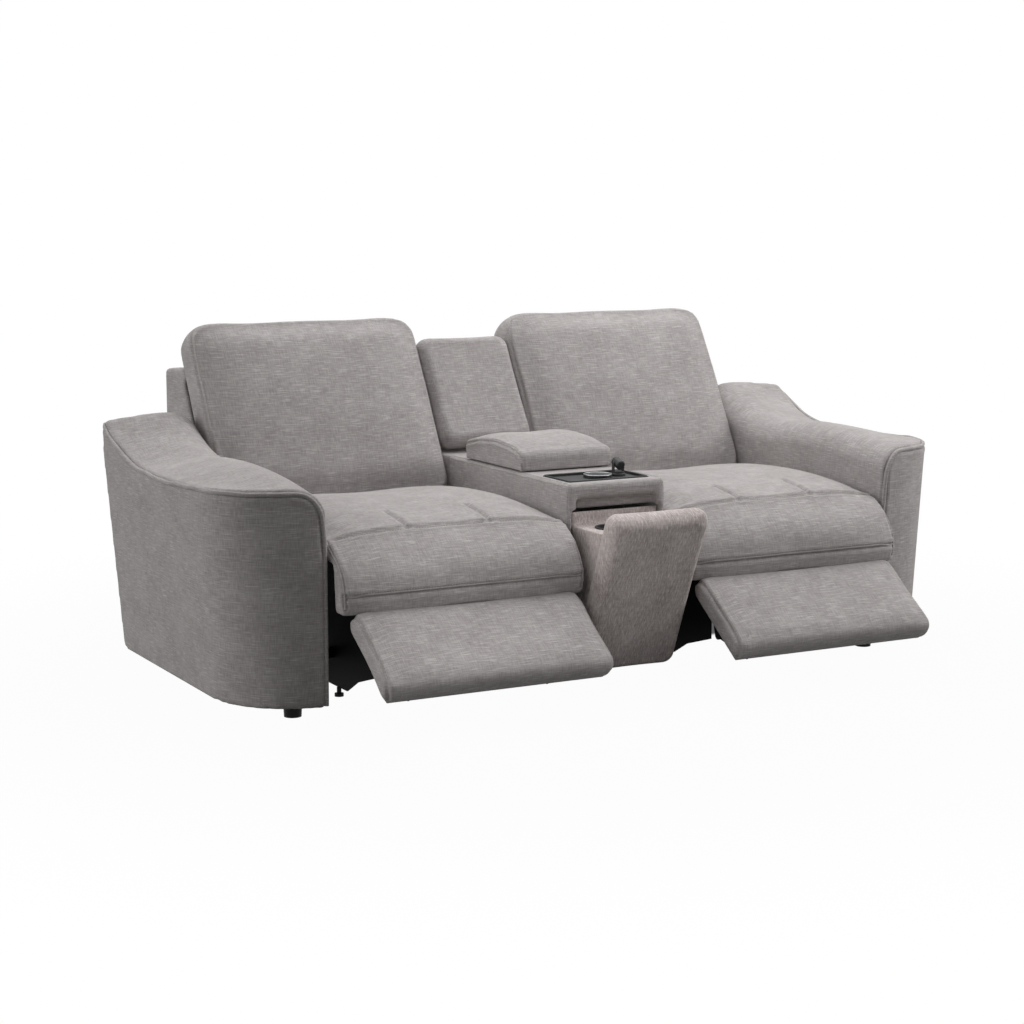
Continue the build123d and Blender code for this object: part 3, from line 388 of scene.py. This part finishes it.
def rubbed(piece, path, reach, rounds):
    # Rubs a hard edge rounder within reach of a path.
    gap = nearest(coordinates(piece.data), path)
    edge = piece.vertex_groups.new(name="edge")
    for i in np.nonzero(gap < reach)[0]:
        edge.add([int(i)], float(1 - (gap[i] / reach) ** 2), "REPLACE")
    rub = piece.modifiers.new("rub", "SMOOTH")
    rub.vertex_group = "edge"
    rub.factor = 0.5
    rub.iterations = rounds
    applyModifiers(piece)


def nearest(points, path):
    # Distance from each point to a polyline, worked out piece by piece.
    best = np.full(len(points), 1e9)
    path = np.array(path)
    for a, b in zip(path, path[1:]):
        run = b - a
        share = np.clip(((points - a) @ run) / max(run @ run, 1e-12), 0, 1)
        gap = np.linalg.norm(points - a - share[:, None] * run, axis=1)
        best = np.minimum(best, gap)
    return best


def sewn(piece, path, depth, width):
    # A seam pulls the cloth in along its line and leaves a soft swell beside it.
    mesh = piece.data
    points = coordinates(mesh)
    inward = -coordinates(mesh, "normal")
    gap = nearest(points, path)
    dent = np.exp(-((gap / width) ** 2))
    swell = np.exp(-(((gap - 2.6 * width) / (1.3 * width)) ** 2))
    pull = depth * dent - 0.25 * depth * swell
    mesh.vertices.foreach_set("co", (points + inward * pull[:, None]).ravel())
    mesh.update()


def finishSoft(piece, body, nodeNames):
    for polygon in piece.data.polygons:
        polygon.use_smooth = True
    weaveMap(piece.data)
    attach(piece, body)
    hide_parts(*nodeNames)


def onto(piece, path, lift=0.0):
    # Puts a path on a piece's skin, each point to the nearest place along with its normal.
    tree = kdtree.KDTree(len(piece.data.vertices))
    for i, vertex in enumerate(piece.data.vertices):
        tree.insert(vertex.co, i)
    tree.balance()
    laid = []
    for point in path:
        _, i, _ = tree.find(point)
        vertex = piece.data.vertices[i]
        laid.append(vertex.co + vertex.normal * lift)
    return laid


def eased(path, rounds):
    points = np.array(path)
    for _ in range(rounds):
        points[1:-1] = 0.25 * points[:-2] + 0.5 * points[1:-1] + 0.25 * points[2:]
    return [Vector(p) for p in points]


def spread(path, step):
    # The same path with points at even steps.
    points = np.array(path)
    lengths = np.r_[0, np.cumsum(np.linalg.norm(np.diff(points, axis=0), axis=1))]
    count = max(2, int(lengths[-1] / step) + 1)
    marks = np.linspace(0, lengths[-1], count)
    return [Vector([np.interp(m, lengths, points[:, k]) for k in range(3)]) for m in marks]


def rim(centre, along, halfAcross, halfAlong, corner, step=0.008):
    # A rectangle with round corners, level across the sofa and leaning along the given direction.
    turns = np.linspace(0, math.pi / 2, 9)
    outline = []
    for quarter, (sx, sy) in enumerate(((1, 1), (-1, 1), (-1, -1), (1, -1))):
        for turn in turns + quarter * math.pi / 2:
            across = sx * (halfAcross - corner) + corner * math.cos(turn)
            up = sy * (halfAlong - corner) + corner * math.sin(turn)
            outline.append((across, up))
    outline.append(outline[0])
    along = Vector(along)
    return spread([centre + Vector((a, 0, 0)) + along * b for a, b in outline], step)


# Piping: a tube of cloth along a path, made by a node tree with its radius as an input.
def pipingTree():
    tree = bpy.data.node_groups.new("piping", "GeometryNodeTree")
    tree.interface.new_socket("Geometry", in_out="INPUT", socket_type="NodeSocketGeometry")
    tree.interface.new_socket("Radius", in_out="INPUT", socket_type="NodeSocketFloat")
    tree.interface.new_socket("Cloth", in_out="INPUT", socket_type="NodeSocketMaterial")
    tree.interface.new_socket("Geometry", in_out="OUTPUT", socket_type="NodeSocketGeometry")
    source = addNode(tree, "NodeGroupInput", {})
    toCurve = addNode(tree, "GeometryNodeMeshToCurve", {}, [(source.outputs["Geometry"], "Mesh")])
    ring = addNode(tree, "GeometryNodeCurvePrimitiveCircle", {"Resolution": 8}, [
        (source.outputs["Radius"], "Radius"),
    ])
    tube = addNode(tree, "GeometryNodeCurveToMesh", {"Fill Caps": True}, [
        (toCurve.outputs[0], "Curve"),
        (ring.outputs[0], "Profile Curve"),
    ])
    smooth = addNode(tree, "GeometryNodeSetShadeSmooth", {}, [(tube.outputs[0], "Geometry")])
    real = addNode(tree, "GeometryNodeRealizeInstances", {}, [(smooth.outputs[0], "Geometry")])
    coat = addNode(tree, "GeometryNodeSetMaterial", {}, [
        (real.outputs[0], "Geometry"),
        (source.outputs["Cloth"], "Material"),
    ])
    addNode(tree, "NodeGroupOutput", {}, [(coat.outputs[0], "Geometry")])
    return tree


# Stitches: one short thread repeated along a path, lying in the path's direction.
def stitchTree():
    tree = bpy.data.node_groups.new("stitchRow", "GeometryNodeTree")
    tree.interface.new_socket("Geometry", in_out="INPUT", socket_type="NodeSocketGeometry")
    tree.interface.new_socket("Pitch", in_out="INPUT", socket_type="NodeSocketFloat")
    tree.interface.new_socket("Thread", in_out="INPUT", socket_type="NodeSocketFloat")
    tree.interface.new_socket("Cloth", in_out="INPUT", socket_type="NodeSocketMaterial")
    tree.interface.new_socket("Geometry", in_out="OUTPUT", socket_type="NodeSocketGeometry")
    source = addNode(tree, "NodeGroupInput", {})
    toCurve = addNode(tree, "GeometryNodeMeshToCurve", {}, [(source.outputs["Geometry"], "Mesh")])
    marks = addNode(tree, "GeometryNodeCurveToPoints", {"mode": "LENGTH"}, [
        (toCurve.outputs[0], "Curve"),
        (source.outputs["Pitch"], "Length"),
    ])
    part = {"operation": "MULTIPLY", 1: 0.62}  # the share of the pitch that lies above the cloth
    length = addNode(tree, "ShaderNodeMath", part, [(source.outputs["Pitch"], 0)])
    thread = addNode(tree, "GeometryNodeMeshCylinder", {"Vertices": 6}, [
        (source.outputs["Thread"], "Radius"),
        (length.outputs[0], "Depth"),
    ])
    rows = addNode(tree, "GeometryNodeInstanceOnPoints", {}, [
        (marks.outputs["Points"], "Points"),
        (thread.outputs["Mesh"], "Instance"),
        (marks.outputs["Rotation"], "Rotation"),
    ])
    real = addNode(tree, "GeometryNodeRealizeInstances", {}, [(rows.outputs[0], "Geometry")])
    smooth = addNode(tree, "GeometryNodeSetShadeSmooth", {}, [(real.outputs[0], "Geometry")])
    coat = addNode(tree, "GeometryNodeSetMaterial", {}, [
        (smooth.outputs[0], "Geometry"),
        (source.outputs["Cloth"], "Material"),
    ])
    addNode(tree, "NodeGroupOutput", {}, [(coat.outputs[0], "Geometry")])
    return tree


piping = pipingTree()
stitchRow = stitchTree()
threadStock = grained("polyesterThread", "#8f8b86", "#a29e99", 0.6, 0.001, 0.0001)


def alongPath(name, paths, tree, inputs, body):
    verts, edges = [], []
    for path in paths:
        edges += [(len(verts) + i, len(verts) + i + 1) for i in range(len(path) - 1)]
        verts += [tuple(p) for p in path]
    mesh = bpy.data.meshes.new(name)
    mesh.from_pydata(verts, edges, [])
    piece = bpy.data.objects.new(name, mesh)
    scene.collection.objects.link(piece)
    run = piece.modifiers.new("run", "NODES")
    run.node_group = tree
    sockets = {s.name: s.identifier for s in tree.interface.items_tree if s.in_out == "INPUT"}
    for label, value in inputs.items():
        run[sockets[label]] = value
    applyModifiers(piece)
    weaveMap(piece.data)
    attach(piece, body)
    return piece


def seamOn(piece, places, step, rounds, lift=0.0):  # a path through places on the drawing, laid on the skin
    return eased(onto(piece, spread(places, step), lift), rounds)


def threadBeside(piece, seam, shift, rounds):  # a stitch row beside a seam
    return eased(onto(piece, [p + Vector(shift) for p in seam], threadLift), rounds)


stitchLook = {"Pitch": 0.0075, "Thread": 0.0007, "Cloth": threadStock}  # 4 mm stitches, drawn longer to show
threadLift = 0.0004

# Seats: crowned in the middle, sewn across before the front slope, with two tucks behind that seam.
seatLook = {
    "voxel": 0.0075,
    "rounding": 2,
    "pressure": 4.0,
    "cap": 0.014,
    "droop": 0.009,  # the lip hangs this far below its drawn edge
    "crowd": 0.016,  # the rear end fills the gap to the back
    "tuckX": 118,
    "tuckLength": 120,
    "seam": (0.006, 0.005),  # depth and width of the dent
    "edgeSeam": (0.005, 0.005),
    "tuckSeam": (0.006, 0.006),
    "ridge": 0.0026,
    "seamStep": 0.008,
}
for side, seatX in seats:
    node = f"{side}_seat_cushion"
    seat = softCopy([node], f"{side}SeatPad", seatLook["voxel"], seatLook["rounding"])
    deck, boxing = at(0, 0, 405).z, at(0, -460, 0).y
    inflate(seat, seatLook["pressure"], seatLook["cap"], lambda p: (p[:, 2] < deck) & (p[:, 1] > boxing))
    refine(seat)
    stretched(seat, (0, 0, -1), -at(0, 0, 336).z, 0.03, seatLook["droop"])
    stretched(seat, (0, 1, 0), at(0, 130, 0).y, 0.06, seatLook["crowd"])
    step = seatLook["seamStep"]
    crest = ((-340, 446), (-290, 458), (0, 466), (290, 458), (340, 446))
    crossSeam = seamOn(seat, [at(seatX + x, -425, z) for x, z in crest], step, 8)
    lipSeam = seamOn(seat, [at(seatX + x, -540, 328) for x in (-340, 340)], step, 8)
    slopeLine = ((-425, 444), (-500, 396), (-536, 328), (-536, 296))
    edges = [seamOn(seat, [at(seatX + x, y, z) for y, z in slopeLine], step, 6) for x in (-331, 331)]
    tucks = []
    for x in (-seatLook["tuckX"], seatLook["tuckX"]):
        ends = [at(seatX + x, -425, 466), at(seatX + x, seatLook["tuckLength"] - 425, 478)]
        tucks.append(onto(seat, spread(ends, step)))
    sewn(seat, crossSeam, *seatLook["seam"])
    sewn(seat, lipSeam, *seatLook["seam"])
    for path in edges:
        sewn(seat, path, *seatLook["edgeSeam"])
    for path in tucks:
        sewn(seat, path, *seatLook["tuckSeam"])
    finishSoft(seat, "sofa", [node])
    crossRow = threadBeside(seat, crossSeam, (0, -0.007, -0.004), 3)
    lipRow = threadBeside(seat, lipSeam, (0, 0, 0.008), 3)
    alongPath(f"{side}SeatStitches", [crossRow, lipRow], stitchRow, stitchLook, "sofa")
    ridges = [eased(onto(seat, path, 0.001), 3) for path in [lipSeam] + edges]
    alongPath(f"{side}SeatRidges", ridges, piping, {"Radius": seatLook["ridge"], "Cloth": fabric}, "sofa")
print("seats made")

# Backs: boxed cushions, the front panel sewn to its boxing all round.
backLook = {
    "voxel": 0.0075,
    "rounding": 2,
    "pressure": 4.0,
    "cap": 0.022,
    "lean": 29,
    "length": 572,
    "thickness": 107,
    "halfWidth": 0.342,
    "corner": 0.05,
    "seam": (0.005, 0.005),
    "stitchIn": 0.010,  # the row lies on the panel, off the arms
}
lean = math.radians(backLook["lean"])
upBack = Vector((0, math.sin(lean), math.cos(lean)))
intoBack = Vector((0, math.cos(lean), -math.sin(lean)))
for side, seatX in seats:
    node = f"{side}_back_cushion"
    back = softCopy([node], f"{side}BackPad", backLook["voxel"], backLook["rounding"])
    foot = at(seatX, 216, 440)
    rear = np.array(foot + intoBack * backLook["thickness"] / 1000)
    outward = -np.array(intoBack)
    inflate(back, backLook["pressure"], backLook["cap"], lambda p: (p - rear) @ outward < 0.02)
    refine(back)
    middle = foot + upBack * backLook["length"] / 2000 + intoBack * 0.012
    halfLength = backLook["length"] / 2000 - 0.004
    border = rim(middle, upBack, backLook["halfWidth"], halfLength, backLook["corner"])
    boxSeam = eased(onto(back, border), 8)
    sewn(back, boxSeam, *backLook["seam"])
    finishSoft(back, f"{side}_back_body", [node])
    panel = [p + (middle - p).normalized() * backLook["stitchIn"] - intoBack * 0.004 for p in boxSeam]
    row = eased(onto(back, panel, threadLift), 4)
    alongPath(f"{side}BackStitches", [row], stitchRow, stitchLook, f"{side}_back_body")
print("backs made")

# Footrests: a pad pulled over its board and round the far edge, sewn to a boxing at each side.
footLook = {
    "voxel": 0.0055,
    "rounding": 2,
    "pressure": 4.0,
    "cap": 0.010,
    "slope": 36,
    "crowd": 0.014,  # the near edge fills the gap to the seat
    "nose": 0.06,
    "seam": (0.0045, 0.0045),
    "stitchIn": 0.008,
    "bare": 5,  # no thread on the first points, where the near edge swings past the seat
}
slope = math.radians(footLook["slope"])
alongPad = Vector((0, math.cos(slope), math.sin(slope)))
offPad = np.array((0, -math.sin(slope), math.cos(slope)))


def padPoint(x, run, level):  # a place on the footrest by its run along the slope and its level off it
    return Vector((x / 1000, 0, 0)) + alongPad * run + Vector(offPad) * level


for side, seatX in seats:
    covered = [f"{side}_footrest_cushion", f"{side}_footrest_board"]
    pad = softCopy(covered, f"{side}FootrestPad", footLook["voxel"], footLook["rounding"])
    points = coordinates(pad.data)
    levels, runs = points @ offPad, points @ np.array(alongPad)
    low, high, far, near = (float(v) for v in (levels.min(), levels.max(), runs.min(), runs.max()))
    rubbed(pad, [padPoint(seatX + x, far, high) for x in (-315, 315)], footLook["nose"], 24)
    inflate(pad, footLook["pressure"], footLook["cap"], lambda p: p @ offPad < low + 0.03)
    refine(pad)
    stretched(pad, alongPad, near - 0.06, 0.05, footLook["crowd"])
    profile = (
        (near + 0.010, high - 0.02),
        (near, high - 0.006),
        (near - 0.04, high),
        (far + 0.04, high),
        (far + 0.012, high - 0.014),
        (far, high - 0.04),
        (far, low + 0.01),
    )
    sideSeams = []
    for x in (-308, 308):
        sideSeams.append(seamOn(pad, [padPoint(seatX + x, run, level) for run, level in profile], 0.006, 6))
    for path in sideSeams:
        sewn(pad, path, *footLook["seam"])
    finishSoft(pad, f"{side}_footrest_body", covered)
    rows = []
    for path, inward in zip(sideSeams, (footLook["stitchIn"], -footLook["stitchIn"])):
        rows.append(threadBeside(pad, path[footLook["bare"]:], (inward, 0, 0), 4))
    alongPath(f"{side}FootrestStitches", rows, stitchRow, stitchLook, f"{side}_footrest_body")
print("footrests made")

# Arms: tight covers over a frame, padded on top. A piped seam runs along the side, round the front
# corner and down the inner front edge.
armLook = {
    "voxel": 0.006,
    "rounding": 2,
    "fill": 0.0022,
    "rearEdge": 0.075,
    "rearCorner": 0.12,
    "sideEdge": 0.04,
    "corner": 213,
    "seam": (0.006, 0.006),
    "pipe": 0.006,
    "pipeLift": 0.0045,
}
corner = armLook["corner"]
turns = np.linspace(0, math.pi / 2, 12)[1:]
armTop = [(1112, 676), (1040, 690), (950, 696), (860, 690)]
armOuter = [
    (1112, 452, 676),
    (1110, 430, 664),
    (1104, 350, 622),
    (1100, 270, 594),
    (1098, 150, 574),
    (1098, 0, 572),
    (1098, -150, 573),
    (1098, -240, 576),
]
armFront = [(1098 - corner + corner * math.cos(t), -242 - corner * math.sin(t), 577 + 4 * t) for t in turns]
armInner = [
    (872, -457, 572),
    (856, -457, 548),
    (846, -457, 500),
    (843, -457, 400),
    (842, -457, 250),
    (842, -457, 52),
]
for side, sign in (("left", -1), ("right", 1)):
    node = f"{side}_arm"
    arm = softCopy([node], f"{side}ArmCover", armLook["voxel"], armLook["rounding"])
    fillOut(arm, armLook["fill"])
    rearTop = [at(sign * x, 455, z) for x, z in armTop]
    rubbed(arm, rearTop, armLook["rearEdge"], 24)
    rubbed(arm, rearTop[:2], armLook["rearCorner"], 40)
    rubbed(arm, [at(sign * x, y, z) for x, y, z in armOuter + armFront], armLook["sideEdge"], 10)
    welt = seamOn(arm, [at(sign * x, y, z) for x, y, z in armOuter + armFront + armInner], 0.008, 14)
    sewn(arm, welt, *armLook["seam"])
    finishSoft(arm, "sofa", [node])
    pipe = eased(onto(arm, welt, armLook["pipeLift"]), 10)
    alongPath(f"{side}ArmPiping", [pipe], piping, {"Radius": armLook["pipe"], "Cloth": fabric}, "sofa")
print("arms made")

# Back covers: flat panels over the rear frames.
for side in ("left", "right"):
    shell = softCopy([f"{side}_back_shell"], f"{side}BackCover", 0.008, 2)
    finishSoft(shell, f"{side}_back_body", [f"{side}_back_shell"])

# Console: a boxed lid, a leaning back pad and a stitched body.
consoleLook = {
    "half": 148,
    "top": 545,
    "front": -423,
    "rear": 262,
    "stitchIn": 9,
    "stitchFoot": 110,
    "lidSide": 138,
    "lidSeam": (0.004, 0.004),
}
lidProfile = (
    (168, 590), (90, 606), (3, 612), (-80, 606), (-128, 598), (-150, 586), (-160, 570), (-160, 552),
)
for node, name, body, voxel in (
    ("console_lid", "lidPad", "lid_body", 0.005),
    ("console_back_cushion", "consoleBackPad", "sofa", 0.006),
    ("console_back_frame", "consoleBackCover", "sofa", 0.008),
    ("console_body", "consoleCover", "sofa", 0.005),
):
    cover = softCopy([node], name, voxel, 2)
    rows = []
    if node == "console_lid":
        refine(cover)
        lidSeams = []
        for sign in (-1, 1):
            edge = [at(sign * consoleLook["lidSide"], y, z) for y, z in lidProfile]
            lidSeams.append(seamOn(cover, edge, 0.005, 6))
            sewn(cover, lidSeams[-1], *consoleLook["lidSeam"])
    finishSoft(cover, body, [node])
    if node == "console_lid":
        for sign, seam in zip((-1, 1), lidSeams):
            rows.append(threadBeside(cover, seam, (-0.008 * sign, 0, 0.003), 4))
            rows.append(threadBeside(cover, seam, (0.004 * sign, 0, -0.009), 4))
        alongPath("lidStitches", rows, stitchRow, stitchLook, body)
    if node == "console_body":
        half, top, inset = consoleLook["half"], consoleLook["top"], consoleLook["stitchIn"]
        front, rear, low = consoleLook["front"], consoleLook["rear"], consoleLook["stitchFoot"]
        for sign in (-1, 1):
            edge = front + inset
            crest = [(half - inset, edge, top), (half - inset, rear, top)]
            flank = [(half, rear, top - inset), (half, edge, top - inset), (half, edge, low)]
            for route in (crest, flank):
                rows.append(seamOn(cover, [at(sign * x, y, z) for x, y, z in route], 0.006, 4, threadLift))
        brow = [at(x, front, top - 2 * inset) for x in (-half + inset, half - inset)]
        rows.append(seamOn(cover, brow, 0.006, 4, threadLift))
        alongPath("consoleStitches", rows, stitchRow, stitchLook, body)
for node, name in (("bin_front", "binFrontPad"), ("bin_box", "binBoxCover")):
    cover = softCopy([node], name, 0.005, 2)
    cover.data.materials[0] = binFabric
    finishSoft(cover, "bin_body", [node])
print("soft pieces made")

# Tray: a raised bead round its edge and a bright ring round the charging disc.
trayLook = {"beadIn": 0.003, "beadCorner": 0.008, "bead": 0.0026, "ringIn": 0.001, "ring": 0.0011}
trayLow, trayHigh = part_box("tray_panel")
trayMiddle = Vector(((trayLow.x + trayHigh.x) / 2, (trayLow.y + trayHigh.y) / 2, trayHigh.z))
trayHalf = [(high - low) / 2 - trayLook["beadIn"] for low, high in zip(trayLow, trayHigh)]
bead = rim(trayMiddle, (0, 1, 0), trayHalf[0], trayHalf[1], trayLook["beadCorner"], 0.004)
beadStock = {"Radius": trayLook["bead"], "Cloth": mouldedAbs}
alongPath("trayBead", [bead], piping, beadStock, "sofa")
discLow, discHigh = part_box("charging_disc")
discMiddle = Vector(((discLow.x + discHigh.x) / 2, (discLow.y + discHigh.y) / 2, discHigh.z))
discHalf = (discHigh.x - discLow.x) / 2 - trayLook["ringIn"]
ring = rim(discMiddle, (0, 1, 0), discHalf, discHalf, discHalf - 0.0001, 0.002)
alongPath("discRing", [ring], piping, {"Radius": trayLook["ring"], "Cloth": zinc}, "sofa")
print("tray made")

# Camera at the photograph's place: 28 degrees to the left, a little above the arms.
cameraLook = {
    "target": (-84.3, 0, 424.5),
    "distance": 6.1133,
    "yaw": -28.3,
    "pitch": 8.6,
    "lens": 77.74,
    "shift": -0.004,
}
yaw, pitch = math.radians(cameraLook["yaw"]), math.radians(cameraLook["pitch"])
forward = Vector((-math.sin(yaw) * math.cos(pitch), math.cos(yaw) * math.cos(pitch), -math.sin(pitch)))
camera = bpy.data.objects.new("camera", bpy.data.cameras.new("camera"))
scene.collection.objects.link(camera)
camera.location = at(*cameraLook["target"]) - forward * cameraLook["distance"]
camera.rotation_euler = forward.to_track_quat("-Z", "Y").to_euler()
camera.data.lens = cameraLook["lens"]
camera.data.sensor_width = 36
camera.data.shift_y = cameraLook["shift"]
camera.data.clip_end = 100
scene.camera = camera


def backdropRays(tree):  # what the camera sees, and what gloss and glass show of it
    ray = addNode(tree, "ShaderNodeLightPath", {})
    both = addNode(tree, "ShaderNodeMath", {"operation": "MAXIMUM"}, [
        (ray.outputs["Is Camera Ray"], 0),
        (ray.outputs["Is Glossy Ray"], 1),
    ])
    return addNode(tree, "ShaderNodeMath", {"operation": "MAXIMUM"}, [
        (both.outputs[0], 0),
        (ray.outputs["Is Transmission Ray"], 1),
    ])


# Studio: a floor that goes white away from the sofa, broad lamps above and at the sides, and a small one
# for the bin. Under the sofa the floor's white glow is cut back: painted shade there, over the real shadow
# on the grey floor, which also keeps white from shining through between the cushions.
floorLook = {
    "colour": "#8c8c8c",
    "shadowReach": (1.1, 2.6),
    "white": 0.97,
    # the ellipse of painted shade under the sofa, and the share of white glow left inside it
    "paintedShadeMiddle": at(0, 200, 0).y,
    "paintedShadeHalf": (0.90, 0.26),
    "paintedShadeGlow": 0.12,
}
floorMaterial, floorTree, floorShader = newMaterial("paleStudioFloor")
floorShader.inputs["Base Color"].default_value = linear(floorLook["colour"])
floorShader.inputs["Roughness"].default_value = 0.9
floorShader.inputs["Specular IOR Level"].default_value = 0.0
floorPlace = addNode(floorTree, "ShaderNodeTexCoord", {}).outputs["Object"]
reach = addNode(floorTree, "ShaderNodeVectorMath", {"operation": "LENGTH"}, [(floorPlace, 0)])
fade = addNode(floorTree, "ShaderNodeMapRange", {
    "interpolation_type": "SMOOTHSTEP",
    "From Min": floorLook["shadowReach"][0],
    "From Max": floorLook["shadowReach"][1],
    "To Min": floorLook["white"],
    "To Max": 1.0,
}, [(reach.outputs["Value"], "Value")])
halfWidth, halfDepth = floorLook["paintedShadeHalf"]
under = addNode(floorTree, "ShaderNodeMapping", {
    "Location": (0, -floorLook["paintedShadeMiddle"] / halfDepth, 0),
    "Scale": (1 / halfWidth, 1 / halfDepth, 0),
}, [(floorPlace, "Vector")])
paintedShadeReach = addNode(floorTree, "ShaderNodeVectorMath", {"operation": "LENGTH"}, [(under.outputs[0], 0)])
# Painted shade: inside the ellipse under the sofa the white glow falls to a low share and the floor shows
# dark.
clear = addNode(floorTree, "ShaderNodeMapRange", {
    "interpolation_type": "SMOOTHSTEP",
    "From Min": 0.95,
    "From Max": 1.05,
    "To Min": floorLook["paintedShadeGlow"],
    "To Max": 1.0,
}, [(paintedShadeReach.outputs["Value"], "Value")])
glow = addNode(floorTree, "ShaderNodeEmission", {"Color": (1, 1, 1, 1), "Strength": 1.0})
seen = addNode(floorTree, "ShaderNodeMath", {"operation": "MULTIPLY"}, [
    (backdropRays(floorTree).outputs[0], 0),
    (fade.outputs[0], 1),
])
shownBy = addNode(floorTree, "ShaderNodeMath", {"operation": "MULTIPLY"}, [
    (seen.outputs[0], 0),
    (clear.outputs[0], 1),
])
mixed = addNode(floorTree, "ShaderNodeMixShader", {}, [
    (shownBy.outputs[0], 0),
    (floorShader.outputs[0], 1),
    (glow.outputs[0], 2),
])
floorTree.links.new(mixed.outputs[0], floorTree.nodes["Material Output"].inputs["Surface"])
floorCorners = [(-40, -40, 0), (40, -40, 0), (40, 40, 0), (-40, 40, 0)]
floor = meshFrom("floor", floorCorners, [(0, 1, 2, 3)], floorMaterial)

world = bpy.data.worlds.new("studio")
scene.world = world
world.use_nodes = True
worldTree = world.node_tree
worldTree.nodes.clear()
soft = addNode(worldTree, "ShaderNodeBackground", {"Color": (1, 1, 1, 1), "Strength": 0.2})
white = addNode(worldTree, "ShaderNodeBackground", {"Color": (1, 1, 1, 1), "Strength": 1.0})
worldMix = addNode(worldTree, "ShaderNodeMixShader", {}, [
    (backdropRays(worldTree).outputs[0], 0),
    (soft.outputs[0], 1),
    (white.outputs[0], 2),
])
addNode(worldTree, "ShaderNodeOutputWorld", {}, [(worldMix.outputs[0], "Surface")])

lampLook = {
    "overhead": {"place": (200, 700, 3400), "aim": (0, 0, 400), "size": 3.0, "power": 78},
    "overheadRight": {"place": (1600, -600, 3000), "aim": (600, 0, 400), "size": 2.2, "power": 14},
    "left": {"place": (-7600, 2200, 2200), "aim": (-600, 0, 400), "size": 4.5, "power": 250},
    "right": {"place": (7400, -900, 2600), "aim": (600, 0, 400), "size": 4.5, "power": 26},
    "rightFront": {"place": (3300, -1800, 2200), "aim": (700, -300, 400), "size": 1.8, "power": 62},
    "binFill": {"place": (-830, -1050, 700), "aim": (170, -1050, 500), "size": 0.5, "power": 2.0},
}
for name, look in lampLook.items():
    lamp = bpy.data.objects.new(name, bpy.data.lights.new(name, "AREA"))
    scene.collection.objects.link(lamp)
    lamp.data.size = look["size"]
    lamp.data.energy = look["power"]
    lamp.location = at(*look["place"])
    lamp.rotation_euler = (at(*look["aim"]) - lamp.location).to_track_quat("-Z", "Y").to_euler()
scene.view_settings.view_transform = "Standard"
print("studio set")
